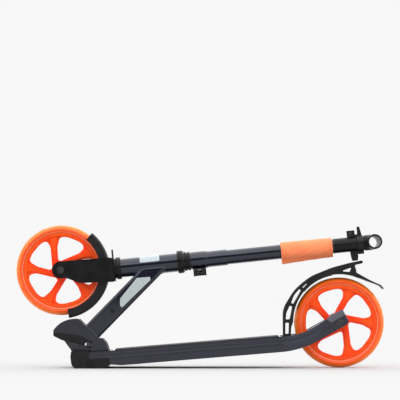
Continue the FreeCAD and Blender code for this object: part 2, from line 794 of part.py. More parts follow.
notches = [
    slot_points(around(PIVOT, notch_reach, angle), angle, size("lock_slot_radius"), 14.0)
    for angle in (LOCK_ANGLE, RIDE_NOTCH_ANGLE)
]
knuckle_plate = plate("knuckle_plate", knuckle_outline, "Dims.knuckle_width")
rim_limit = cross_rod("knuckle_rim_limit", KNUCKLE_RIM, PIVOT.x, PIVOT.z, -30, 30)
tube_side = box("knuckle_tube_side", (6.0, -30, -30), (90.0, 30, 40), DOWN_TUBE)
knuckle_zone = fuse("knuckle_zone", [rim_limit, tube_side])
knuckle_trim = common("knuckle_trim", knuckle_plate, knuckle_zone)
knuckle_solid = fuse("knuckle_solid", [hub_round, knuckle_trim])
notch_cutters = [
    plate(f"knuckle_notch_{index}", outline, 60.0) for index, outline in enumerate(notches)
]
bush_bore = cross_rod("knuckle_bore", "Dims.bush_radius", PIVOT.x, PIVOT.z, -30, 30)
knuckle_cuts = fuse("knuckle_cuts", notch_cutters + [bush_bore])
keep(cut("pivot_knuckle", knuckle_solid, knuckle_cuts), "pivot_knuckle")
keep(ring_pair("knuckle_bushes", "bush_radius", "bush_bore", 14.0, PIVOT.x, PIVOT.z, (-19.5, 5.5)),
     "knuckle_bushes")

TUBE_LENGTH = 185.0
half_width = size("down_tube_width") / 2
wall = size("down_tube_wall")


def tube_section(inset, corner):
    """Rounded box section of the down tube, in its own frame."""
    deep = half_depth - inset
    wide = half_width - inset
    return [(-wide, -deep, corner), (wide, -deep, corner), (wide, deep, corner), (-wide, deep, corner)]


tube_body = new_body("down_tube_blank")
tube_profile = new_sketch(tube_body, "YZ_Plane")
tube_profile.addGeometry(outline_curves(tube_section(0.0, 6.0)), False)
tube_profile.addGeometry(outline_curves(tube_section(wall, 3.8)), False)
add_pad(tube_body, tube_profile, TUBE_LENGTH, symmetric=False)
tube_body.Placement = shifted(DOWN_TUBE, x=TUBE_START)
head_start = size("head_tube_start")
head_end = head_start + size("head_tube_length")
head_cutter = cylinder("down_tube_cope", "Dims.head_tube_radius", 200.0,
                       shifted(COLUMN, x=head_start - 40).multiply(Placement(Vector(), ALONG_X)))
above_axis = box("down_tube_trim", (head_start - 60, -40, -1.0), (head_end + 60, 40, 90), COLUMN)
tube_tools = fuse("down_tube_cuts", [head_cutter, above_axis])
PLUG_SPOT = (-170.1, 109.8)
plug_hole = cross_rod("down_tube_plug_hole", 3.6, PLUG_SPOT[0], PLUG_SPOT[1], -30, 0)
tube_coped = cut("down_tube_coped", tube_body, tube_tools)
keep(cut("down_tube", tube_coped, plug_hole), "down_tube")
plug_cap = cross_rod("tube_plug_cap", 4.6, PLUG_SPOT[0], PLUG_SPOT[1], -half_width - 1.0, -half_width)
plug_stem = cross_rod("tube_plug_stem", 3.6, PLUG_SPOT[0], PLUG_SPOT[1], -half_width, -half_width + 4.0)
keep(fuse("tube_plug", [plug_cap, plug_stem]), "tube_plug")

head_frame = shifted(COLUMN, x=head_start).multiply(Placement(Vector(), ALONG_X))
keep(tube("head_tube", "head_tube_radius", "head_tube_bore", "Dims.head_tube_length", head_frame),
     "head_tube")

trim_outline = [
    (-123.0, 174.0, 3.0), (-96.5, 176.2, 2.0), (-96.7, 169.8, 2.0),
    (-152.3, 115.6, 2.0), (-155.8, 122.3, 2.0), (-155.0, 134.4, 3.0),
]
TRIM_THICKNESS = 0.6
trims = []
for side in (-1, 1):
    placed = tilted(0, 0, 0, y=side * (half_width + TRIM_THICKNESS / 2))
    trims.append(plate(f"trim_plate_{side + 1}", trim_outline, TRIM_THICKNESS, placed))
keep(group("trim_plates", trims), "trim_plates")

BADGE_START, BADGE_END = -117.0, -78.5
badge_frame = shifted(COLUMN, x=BADGE_START - 5.0).multiply(Placement(Vector(), ALONG_X))
badge_ring = tube("head_badge_ring", 18.95, 18.42, 60.0, badge_frame)
badge_outline = [
    (BADGE_START, 6.2, 2.5), (BADGE_END, 6.2, 2.5), (BADGE_END, 25.0), (BADGE_START, 25.0),
]
badge_window = plate("head_badge_window", badge_outline, 60.0, COLUMN)
keep(common("head_badge", badge_ring, badge_window), "head_badge")

# ---------------------------------------------------------------- headset

def on_axis(start):
    """A frame on the column with its local Z pointing up the column."""
    return shifted(COLUMN, x=start).multiply(Placement(Vector(), ALONG_X))


STEERER_R = size("steerer_radius")
lower_cup = [
    (21.5, -8.9, 1.2), (21.5, 0.0, 0.6), (16.6, 0.0), (16.6, -2.4), (19.0, -2.4), (19.0, -8.9),
]
keep(turned("headset_cup_lower", outline_curves(lower_cup), on_axis(head_start)), "headset_cup_lower")
upper_cup = [
    (16.6, 0.0), (22.0, 0.0, 0.8), (22.2, 9.0, 1.5), (20.4, 12.6, 1.0), (19.0, 12.6),
    (19.0, 3.2), (16.6, 3.2),
]
keep(turned("headset_cup_upper", outline_curves(upper_cup), on_axis(head_end)), "headset_cup_upper")
bearing_bore = STEERER_R + 0.08
headset_rings = [
    tube("headset_bearing_low", 18.98, bearing_bore, 6.0, on_axis(head_start - 8.6)),
    tube("headset_bearing_high", 18.98, bearing_bore, 6.0, on_axis(head_end + 3.3)),
]
keep(group("headset_bearings", headset_rings), "headset_bearings")

CROWN_TOP = -170.4
BRACKET_TOP = -167.4
race = [(STEERER_R, 0.0), (20.0, 0.0), (19.0, 2.8, 0.8), (STEERER_R, 2.8)]
SPIGOT_DEPTH = 3.0
keep(turned("crown_race", outline_curves(race), on_axis(BRACKET_TOP)), "crown_race")
lock_start = head_end + 13.1
locknut = [
    (STEERER_R, 0.0), (18.6, 0.0, 0.6), (18.6, 4.4, 0.6), (17.0, 5.0), (17.0, 7.0), (17.9, 7.4, 0.4),
    (17.9, 12.4, 1.0), (STEERER_R, 12.4),
]
keep(turned("headset_locknut", outline_curves(locknut), on_axis(lock_start)), "headset_locknut")

# ---------------------------------------------------------------- fork and front fender

arm_mid = size("fork_arm_inner_y") + size("fork_arm_thickness") / 2
along = size("front_axle_along")
rake = size("fork_rake")
END_R = 16.6
CROWN_BOTTOM = -177.3
fork_arm_outline = [
    (CROWN_TOP, 22.3, 4.0), (along - END_R, rake + END_R + 0.8, END_R), (along - END_R, rake - END_R, END_R),
    (-262.0, rake - END_R, 12.0), (-238.0, -20.6, 14.0), (CROWN_TOP, -25.2, 4.0),
]
fork_holes = [(along, rake, AXLE_CLEARANCE)]
fork_pieces = []
for side in (-1, 1):
    placed = shifted(COLUMN, y=side * arm_mid)
    fork_pieces.append(plate(f"fork_arm_{side + 1}", fork_arm_outline, "Dims.fork_arm_thickness",
                             placed, fork_holes))
crown = box("fork_crown", (CROWN_BOTTOM, -23.0, -20.0), (CROWN_TOP, 23.0, 20.0), COLUMN)
steerer_start = CROWN_TOP - SPIGOT_DEPTH
crown_bore = cylinder("fork_crown_bore", "Dims.steerer_radius", 30.0, on_axis(steerer_start))
fork_solid = fuse("fork_solid", fork_pieces + [crown])
FENDER_SCREW_Y = (-9.0, 9.0)
SCREW_SHANK = 2.4


def fender_screw_frame(along_column, offset):
    """A frame up the column, above the top of the front fender."""
    return shifted(COLUMN, x=along_column, y=offset, z=rake).multiply(Placement(Vector(), ALONG_X))


fork_screw_holes = [
    cylinder(f"fork_screw_hole_{index}", SCREW_SHANK, 4.0, fender_screw_frame(CROWN_BOTTOM - 1.0, offset))
    for index, offset in enumerate(FENDER_SCREW_Y)
]
fork_cuts = fuse("fork_cuts", [crown_bore] + fork_screw_holes)
keep(cut("fork", fork_solid, fork_cuts), "fork")

steerer_length = 53.0 - steerer_start
keep(tube("steerer_tube", "steerer_radius", "steerer_bore", steerer_length, on_axis(steerer_start)),
     "steerer_tube")

bracket_outline = [
    (-20.5, -24.5, 4.0), (20.5, -24.5, 4.0), (20.5, 21.0, 5.0), (5.5, 26.0, 3.0), (5.5, 37.5, 2.0),
    (-5.5, 37.5, 2.0), (-5.5, 26.0, 3.0), (-20.5, 21.0, 5.0),
]
bracket_thickness = BRACKET_TOP - CROWN_TOP
bracket_frame = shifted(COLUMN, x=CROWN_TOP + bracket_thickness / 2)
bracket = plate("fender_bracket", bracket_outline, bracket_thickness, bracket_frame,
                [(0.0, 0.0, "steerer_radius")], plane="YZ_Plane")
keep(bracket, "fender_bracket")


def polar(radius, degrees):
    angle = math.radians(degrees)
    return radius * math.cos(angle), radius * math.sin(angle)


fender_r = size("fender_radius")
fender_half = size("fender_width") / 2
FENDER_WALL = 2.3
LIP_R = 77.0
channel = [
    (LIP_R, -fender_half), (fender_r, -fender_half, 5.0), (fender_r, fender_half, 5.0),
    (LIP_R, fender_half), (LIP_R, fender_half - FENDER_WALL),
    (fender_r - FENDER_WALL, fender_half - FENDER_WALL, 2.7),
    (fender_r - FENDER_WALL, -fender_half + FENDER_WALL, 2.7), (LIP_R, -fender_half + FENDER_WALL),
]
fender_frame = facing_side(FRONT_AXLE.x, FRONT_AXLE.z)
fender_ring = turned("front_fender_ring", outline_curves(channel), fender_frame)
FENDER_TOP, FENDER_LOW = 50.0, -80.0
far = 260.0
sector = [(0.0, 0.0)]
for degrees in (FENDER_LOW, -15.0, FENDER_TOP):
    sector.append(polar(far, degrees))
sector_body = plate("front_fender_sector", sector, 60.0, fender_frame, plane="XY_Plane")
fender_cut = common("front_fender_arc", fender_ring, sector_body)
mount_flat = box("front_fender_flat", (CROWN_BOTTOM, -30, -40), (CROWN_BOTTOM + 30, 30, 40), COLUMN)
fender_holes = [
    cylinder(f"fender_hole_{index}", SCREW_SHANK, 14.0, fender_screw_frame(CROWN_BOTTOM - 9.0, offset))
    for index, offset in enumerate(FENDER_SCREW_Y)
]
keep(cut("front_fender", fender_cut, fuse("front_fender_cuts", [mount_flat] + fender_holes)), "front_fender")
HEAD_DEPTH = 1.5
HEAD_RADIUS = 4.2
fender_inner = fender_r - FENDER_WALL
seat_drop = fender_inner - math.sqrt(fender_inner ** 2 - HEAD_RADIUS ** 2)
head_start_along = along + fender_inner - HEAD_DEPTH - seat_drop
fender_screws = []
for index, offset in enumerate(FENDER_SCREW_Y):
    placed = fender_screw_frame(head_start_along, offset)
    cap = cylinder(f"fender_screw_cap_{index}", HEAD_RADIUS, HEAD_DEPTH, placed)
    shank_length = CROWN_BOTTOM + 2.9 - head_start_along
    shank = cylinder(f"fender_screw_shank_{index}", SCREW_SHANK, shank_length, placed)
    fender_screws.append(fuse(f"fender_screw_{index}", [shank, cap]))
keep(group("fender_screws", fender_screws), "fender_screws")

fork_outer = size("fork_arm_inner_y") + size("fork_arm_thickness")
axle_set("front", FRONT_AXLE, size("fork_arm_inner_y"), fork_outer, 4.0, fork_outer + 8.5)
axle_set("rear", REAR_AXLE, arm_inner, arm_outer - 2.0, 4.5, arm_outer + 8.0)

# ---------------------------------------------------------------- clamp and quick release

COLLAR_START = head_end + 26.6
collar_profile = [
    (15.82, 0.0), (17.4, 0.0, 0.6), (17.4, 26.0, 1.0), (16.4, 33.0, 0.5), (15.82, 33.0),
]
collar_ring = turned("clamp_collar_ring", outline_curves(collar_profile), on_axis(COLLAR_START))
EAR_LOW, EAR_HIGH = -24.0, -14.0
ears = box("clamp_ears", (COLLAR_START + 3.0, -8.5, EAR_LOW), (COLLAR_START + 27.0, 8.5, EAR_HIGH), COLUMN)
collar_bore = cylinder("clamp_bore", 15.82, 60.0, on_axis(COLLAR_START - 10))
clamp_slit = box("clamp_slit", (COLLAR_START - 5, -0.9, -40.0), (COLLAR_START + 40, 0.9, 0.0), COLUMN)
bolt_at = on_column(COLLAR_START + 15.0, -20.0)
bolt_hole = cross_rod("clamp_bolt_hole", 2.6, bolt_at[0], bolt_at[1], -40, 40)
collar_solid = fuse("clamp_collar_solid", [collar_ring, ears])
keep(cut("clamp_collar", collar_solid, fuse("clamp_cuts", [collar_bore, clamp_slit, bolt_hole])),
     "clamp_collar")
QR_Y = -13.5
qr_frame = shifted(COLUMN, x=COLLAR_START + 15.0, y=QR_Y, z=-20.0)
qr_axis = Placement(Vector(), ALONG_X)
eye_block = cylinder("clamp_bolt_eye", 3.5, 6.0, shifted(qr_frame, x=-3.0).multiply(qr_axis))
eye_hole = cylinder("clamp_bolt_eye_hole", 1.86, 20.0, shifted(qr_frame, x=-10.0).multiply(qr_axis))
bolt_shaft = cross_rod("clamp_bolt_shaft", 2.5, bolt_at[0], bolt_at[1], QR_Y + 1, 13.5)
bolt_cap = cross_rod("clamp_bolt_cap", 4.6, bolt_at[0], bolt_at[1], 8.6, 13.0)
bolt_solid = fuse("clamp_bolt_solid", [eye_block, bolt_shaft, bolt_cap])
keep(cut("clamp_bolt", bolt_solid, eye_hole), "clamp_bolt")
qr_section = [
    (-5.0, 4.4, 4.3), (4.0, 4.4, 4.3), (4.0, -4.6, 2.0), (23.5, -4.6, 2.0), (25.5, -11.0, 3.0),
    (-5.0, -11.0, 5.0),
]
qr_body = plate("qr_lever_blank", qr_section, 25.0, qr_frame, plane="YZ_Plane")
qr_slot = box("qr_lever_slot", (-3.3, -12.0, -4.2), (3.3, 9.0, 12.0), qr_frame)
qr_pin_hole = cylinder("qr_lever_pin_hole", 1.8, 60.0, shifted(qr_frame, x=-30.0).multiply(qr_axis))
qr_grooves = [
    box(f"qr_groove_{step}", (-9.0 + 5.4 * step, -30.0, -13.0), (-7.0 + 5.4 * step, 40.0, -10.2), qr_frame)
    for step in range(4)
]
keep(cut("quick_release_lever", qr_body, fuse("qr_cuts", [qr_slot, qr_pin_hole] + qr_grooves)),
     "quick_release_lever")
keep(cylinder("quick_release_pin", 1.8, 25.0, shifted(qr_frame, x=-12.5).multiply(qr_axis)),
     "quick_release_pin")

# ---------------------------------------------------------------- upper column and handlebar stem

UPPER_START = -168.0
STEM_START = 262.0
keep(tube("upper_tube", "upper_tube_radius", "upper_tube_bore", STEM_START - UPPER_START,
          on_axis(UPPER_START)), "upper_tube")
sleeve_frame = on_axis(size("sleeve_start"))
keep(tube("carry_sleeve", "sleeve_radius", "sleeve_bore", "Dims.sleeve_length", sleeve_frame),
     "carry_sleeve")

bar_at = on_column(size("bar_along"))
bar_half = size("bar_length") / 2
spigot = cylinder("stem_spigot", 12.28, 34.0, on_axis(STEM_START - 30.0))
stem_barrel = cylinder("stem_barrel", "Dims.upper_tube_radius", size("bar_along") - STEM_START,
                       on_axis(STEM_START))
stem_neck = cylinder("stem_neck", 15.2, 12.0, on_axis(size("bar_along") - 16.0))
bar_shell = cross_rod("stem_bar", "Dims.bar_radius", bar_at[0], bar_at[1], -bar_half, bar_half)
bar_bore = cross_rod("stem_bar_bore", "Dims.bar_socket_radius", bar_at[0], bar_at[1],
                     -bar_half - 5, bar_half + 5)
keep(cut("bar_socket", bar_shell, bar_bore), "bar_socket")
bar_seat = cross_rod("stem_bar_seat", "Dims.bar_radius", bar_at[0], bar_at[1], -bar_half, bar_half)
keep(cut("t_stem", fuse("stem_solid", [spigot, stem_barrel, stem_neck]), bar_seat), "t_stem")

BAND_START, BAND_WIDTH = 308.5, 11.5
band = tube("clip_band", 16.6, 14.35, BAND_WIDTH, on_axis(BAND_START))
upper_block = box("clip_upper_block", (290.5, -7.0, 14.4), (305.5, 7.0, 26.8), COLUMN)
block_foot = box("clip_block_foot", (303.0, -7.0, 14.4), (BAND_START + 4, 7.0, 18.5), COLUMN)
tab_outline = [
    (BAND_START + 1.0, 15.0), (BAND_START + 10.5, 15.0), (BAND_START + 9.8, 20.5, 1.0),
    (BAND_START + 7.2, 33.2, 1.8), (BAND_START + 2.6, 33.2, 1.2), (BAND_START + 2.2, 20.0),
]
tab = plate("clip_tab", tab_outline, 7.0, COLUMN)
band_lug = box("clip_band_lug", (BAND_START, -7.0, -20.5), (BAND_START + BAND_WIDTH, 7.0, -13.5), COLUMN)
tube_clear = cylinder("clip_clearance", 14.35, 60.0, on_axis(280.0))
clip_solid = fuse("stem_clip_solid", [band, upper_block, block_foot, tab, band_lug])
clip_holes = [tube_clear, cross_rod("clip_screw_hole", 2.0, *on_column(296.5, 20.6), -20, 20)]
keep(cut("stem_clip", clip_solid, fuse("stem_clip_cuts", clip_holes)), "stem_clip")
screw_at = on_column(296.5, 20.6)
clip_screw = socket_bolt("clip_screw", 1.95, 3.4, screw_at[0], screw_at[1], -8.6, -7.0, 7.0, 2.5)
keep(clip_screw, "clip_screw")
hook_outline = [
    (293.5, -13.0), (307.6, -13.0), (308.2, -24.5, 2.0), (306.6, -32.6, 1.2), (296.2, -32.6, 1.2),
    (294.2, -24.0, 4.0),
]
hook = plate("stem_hook_blank", hook_outline, 9.0, COLUMN)
hook_clear = cylinder("stem_hook_clearance", 14.35, 60.0, on_axis(270.0))
keep(cut("stem_hook", hook, hook_clear), "stem_hook")

# ---------------------------------------------------------------- rear mudguard and brake

guard_r = size("guard_inner_radius")
shell_r = guard_r + size("guard_shell")
brake_x, brake_z = size("brake_x"), size("brake_z")
GUARD_CENTRE = REAR_AXLE + Vector(2.3, 0, 1.5)
SHELL_FOOT_Z = 116.0


def on_guard(radius, degrees, bend=0.0):
    """A point of the mudguard, polar about the centre of its inner arc."""
    point = around(GUARD_CENTRE, radius, degrees)
    return point + (bend,) if bend else point


guard_outline = [
    (157.9, 37.5, 6.0), (173.2, 37.5, 6.0), (176.4, 62.0, 10.0), (177.2, 78.0, 6.0), (181.4, 90.0),
    (230.0, 120.0), (300.0, 110.0), (304.9, 181.0), (303.6, 190.0, 4.0), (300.5, 199.0, 3.0),
    (313.0, 201.6, 2.0), (318.0, 203.8, 2.6), (315.0, 208.2, 2.6), (292.5, 203.6, 60.0),
    (259.5, 195.0, 70.0), (216.0, 177.4, 90.0), (184.9, 151.8, 90.0), (161.9, 114.0, 45.0),
    (162.2, 62.0, 12.0),
]
guard_windows = [
    [(165.6, 65.0, 1.5), (173.4, 65.0, 1.5), (174.0, 86.8, 2.0), (165.9, 87.2, 2.0)],
    [on_guard(97.9, 177.4, 2.0), on_guard(107.0, 177.8, 2.0), on_guard(106.9, 170.5, 20.0),
     on_guard(103.8, 162.6, 2.0), on_guard(97.4, 162.4, 2.0)],
    [on_guard(97.4, 159.4, 1.5), on_guard(102.8, 159.4, 2.0), on_guard(104.3, 151.0, 25.0),
     on_guard(102.2, 141.4, 2.0), on_guard(97.4, 141.0, 1.5)],
    [on_guard(97.2, 138.2, 0.8), on_guard(100.0, 138.0, 1.0), on_guard(99.4, 131.4, 1.0),
     on_guard(97.0, 131.0, 0.8)],
    [(274.5, 187.0, 1.0), (293.0, 185.4, 2.5), (297.6, 195.2, 1.5)],
]
guard_blank = plate("mudguard_blank", guard_outline, "Dims.guard_width", WORLD,
                    [(brake_x, brake_z, 3.08)], guard_windows)
arc_relief = cross_rod("mudguard_arc_relief", "Dims.guard_inner_radius", GUARD_CENTRE.x, GUARD_CENTRE.z,
                       -40, 40)
inner_half = size("guard_inner_width") / 2
hollow_box = box("mudguard_hollow_box", (150.0, -inner_half, 30.0), (311.5, inner_half, 230.0))
shell_round = cross_rod("mudguard_shell_round", shell_r, GUARD_CENTRE.x, GUARD_CENTRE.z, -45, 45)
shell_above = box("mudguard_shell_above", (150.0, -60, SHELL_FOOT_Z), (330.0, 60, 230.0))
hollow = cut("mudguard_hollow", hollow_box, common("mudguard_shell_keep", shell_round, shell_above))
guard_sides = cut("mudguard_sides", guard_blank, fuse("mudguard_cuts", [arc_relief, hollow]))
guard_rungs = []
rung_spots = [on_guard(108.8, 179.2), on_guard(105.4, 161.0), on_guard(102.6, 139.6), on_guard(101.8, 112.0)]
for index, (x, z) in enumerate(rung_spots):
    guard_rungs.append(cross_rod(f"mudguard_rung_{index}", 1.7, x, z, -inner_half - 1, inner_half + 1))
tail_outline = [
    (303.2, 176.0), (303.2, 184.0), (306.0, 183.6, 2.0), (328.5, 170.9, 20.0), (341.0, 165.0),
    (351.2, 160.6, 4.0), (357.6, 153.6), (356.2, 152.6), (350.2, 158.6, 4.0), (340.4, 162.9),
    (327.2, 167.5, 20.0), (314.0, 172.6),
]
tail = plate("mudguard_tail", tail_outline, 35.0)
keep(fuse("mudguard", [guard_sides, tail] + guard_rungs), "mudguard")

PAD_THICKNESS = 1.3
pad_outline = [(0.0, 0.0), polar(200.0, 100.0), polar(200.0, 140.0)]
pad_ring = tube("brake_pad_ring", guard_r, guard_r - PAD_THICKNESS, 22.0,
                Placement(Vector(GUARD_CENTRE.x, -11.0, GUARD_CENTRE.z), ALONG_Y))
pad_sector = plate("brake_pad_sector", pad_outline, 60.0, facing_side(GUARD_CENTRE.x, GUARD_CENTRE.z),
                   plane="XY_Plane")
keep(common("brake_pad", pad_ring, pad_sector), "brake_pad")

pin_bolt = socket_bolt("brake_pin_bolt", "Dims.brake_pin_radius", 5.4, brake_x, brake_z,
                       -deck_edge - 2.4, -deck_edge, deck_edge + 1.0, 4.0)
pin_end = cross_rod("brake_pin_end", 5.4, brake_x, brake_z, deck_edge, deck_edge + 2.4)
keep(fuse("brake_pin", [pin_bolt, pin_end]), "brake_pin")
coil_path = doc.addObject("Part::Helix", "brake_spring_path")
coil_path.Radius = 5.2
coil_path.Pitch = 2.4
coil_path.Height = 12.0
coil_wire = doc.addObject("Part::Circle", "brake_spring_wire")
coil_wire.Radius = 0.8
coil_wire.Placement = Placement(Vector(5.2, 0, 0), Rotation(Vector(1, 0, 0), 90))
coil = doc.addObject("Part::Sweep", "brake_spring")
coil.Sections = [coil_wire]
coil.Spine = (coil_path, [])
coil.Solid = True
coil.Frenet = True
coil.Placement = Placement(Vector(brake_x, -6.0, brake_z), ALONG_Y)
keep(coil, "brake_spring")

# Grey plastic end caps over the open upper ends of the two rear arms, with a skirt outside.
cap_outline = [
    (-19.0, ARM_TOP, 0.3), (ARM_END, ARM_TOP), (ARM_END, ARM_BOTTOM + 4.0), (ARM_END + 1.6, ARM_BOTTOM + 4.0),
    (ARM_END + 1.6, ARM_TOP + 1.9, 2.0), (-15.0, ARM_TOP + 1.9, 1.5),
]
SKIRT_THICKNESS = 0.9
skirt_outline = [
    (-19.0, ARM_TOP), (-15.0, ARM_TOP - 9.8, 2.0), (ARM_END + 1.6, ARM_TOP - 10.6, 1.0),
    (ARM_END + 1.6, ARM_TOP + 1.9, 2.0), (-15.0, ARM_TOP + 1.9, 1.5),
]
cap_top = plate("arm_cap_top", cap_outline, "Dims.rail_thickness", shifted(ARM, y=-arm_inner - rail_wall / 2))
cap_skirt = plate("arm_cap_skirt", skirt_outline, SKIRT_THICKNESS,
                  shifted(ARM, y=-arm_outer - SKIRT_THICKNESS / 2))
cap_left = cut("arm_cap_left", fuse("arm_cap_blank", [cap_top, cap_skirt]), rail_left)
keep(group("arm_caps", [cap_left, mirrored_y("arm_cap_right", cap_left)]), "arm_caps")

# ---------------------------------------------------------------- check and export

doc.recompute()
for obj in doc.Objects:
    if "Invalid" in obj.State or "Error" in obj.State:
        raise RuntimeError(f"{obj.Name} failed: {obj.State}")
os.makedirs("parts", exist_ok=True)
for obj in nodes:
    shape = obj.Shape
    if shape.isNull() or not shape.isValid() or not shape.Solids:
        raise RuntimeError(f"{obj.Label} has no valid solid")
    shape.exportStep(os.path.join("parts", obj.Label + ".step"))
print(len(nodes), "sub-parts written")
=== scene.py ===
"""Looks for the folded kick scooter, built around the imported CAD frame. Units are metres."""

import json
import math

import bmesh
import bpy
from mathutils import Matrix, Vector


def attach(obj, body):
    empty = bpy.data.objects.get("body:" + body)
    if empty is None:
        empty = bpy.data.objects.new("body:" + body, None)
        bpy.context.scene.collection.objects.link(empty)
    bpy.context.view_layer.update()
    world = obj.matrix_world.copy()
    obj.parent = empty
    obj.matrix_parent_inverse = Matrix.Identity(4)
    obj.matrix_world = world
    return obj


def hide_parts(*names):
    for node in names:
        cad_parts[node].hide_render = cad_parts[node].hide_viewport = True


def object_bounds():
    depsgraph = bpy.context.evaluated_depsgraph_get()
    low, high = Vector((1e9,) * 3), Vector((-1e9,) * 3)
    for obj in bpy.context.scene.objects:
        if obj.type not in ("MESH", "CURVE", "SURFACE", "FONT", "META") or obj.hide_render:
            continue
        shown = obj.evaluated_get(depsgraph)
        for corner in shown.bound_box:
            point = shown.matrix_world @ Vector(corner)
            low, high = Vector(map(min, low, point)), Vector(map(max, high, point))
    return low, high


MM = 0.001

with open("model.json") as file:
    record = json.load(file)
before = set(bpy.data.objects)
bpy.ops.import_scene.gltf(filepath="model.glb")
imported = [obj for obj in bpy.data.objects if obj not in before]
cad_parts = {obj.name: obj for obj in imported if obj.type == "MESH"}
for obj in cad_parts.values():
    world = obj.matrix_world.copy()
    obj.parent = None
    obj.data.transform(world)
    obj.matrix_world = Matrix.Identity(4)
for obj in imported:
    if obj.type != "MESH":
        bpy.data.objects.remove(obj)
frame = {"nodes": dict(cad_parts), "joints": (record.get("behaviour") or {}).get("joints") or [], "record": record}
cad_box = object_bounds()
nodes = frame["nodes"]
joints = {joint["name"]: joint for joint in frame["joints"]}

# The steering column: a point on its axis and its direction, towards the handlebar.
COLUMN_POINT = Vector(joints["steering"]["pos_m"])
COLUMN_AXIS = Vector(joints["steering"]["axis"]).normalized()
SIDEWAYS = Vector((0, 1, 0))
COLUMN_UP = COLUMN_AXIS.cross(SIDEWAYS).normalized()
PIVOT = Vector(joints["fold"]["pos_m"])
AXLES = {
    "rear": Vector(joints["rear_wheel_spin"]["pos_m"]),
    "front": Vector(joints["front_wheel_spin"]["pos_m"]),
}


def on_column(along):
    """A point on the column axis."""
    return COLUMN_POINT + COLUMN_AXIS * along


def outward(angle):
    """Direction away from the column axis, at an angle from straight down."""
    return COLUMN_UP * -math.cos(angle) + SIDEWAYS * math.sin(angle)


def node_span(name):
    """How far along the column axis a CAD node reaches."""
    coords = [COLUMN_AXIS.dot(v.co - COLUMN_POINT) for v in nodes[name].data.vertices]
    return min(coords), max(coords)


# ---------------------------------------------------------------- shader helpers


class Graph:
    """Short ways to add nodes to a node tree."""

    def __init__(self, tree):
        self.nodes, self.links = tree.nodes, tree.links

    def add(self, kind, **values):
        node = self.nodes.new(kind)
        for key, value in values.items():
            setattr(node, key, value)
        return node

    def math(self, operation, a, b=0.0, clamp=False):
        node = self.add("ShaderNodeMath", operation=operation, use_clamp=clamp)
        for socket, value in zip(node.inputs, (a, b)):
            if isinstance(value, (int, float)):
                socket.default_value = value
            else:
                self.links.new(value, socket)
        return node.outputs[0]

    def span(self, source, low, high, out_low=0.0, out_high=1.0):
        """Map low..high of a value to out_low..out_high, clamped and smooth."""
        node = self.add("ShaderNodeMapRange", interpolation_type="SMOOTHSTEP")
        sockets = ("From Min", "From Max", "To Min", "To Max")
        for socket, value in zip(sockets, (low, high, out_low, out_high)):
            node.inputs[socket].default_value = value
        self.links.new(source, node.inputs["Value"])
        return node.outputs["Result"]

    def parts(self, vector):
        """The X, Y and Z of a vector."""
        node = self.add("ShaderNodeSeparateXYZ")
        self.links.new(vector, node.inputs[0])
        return node.outputs


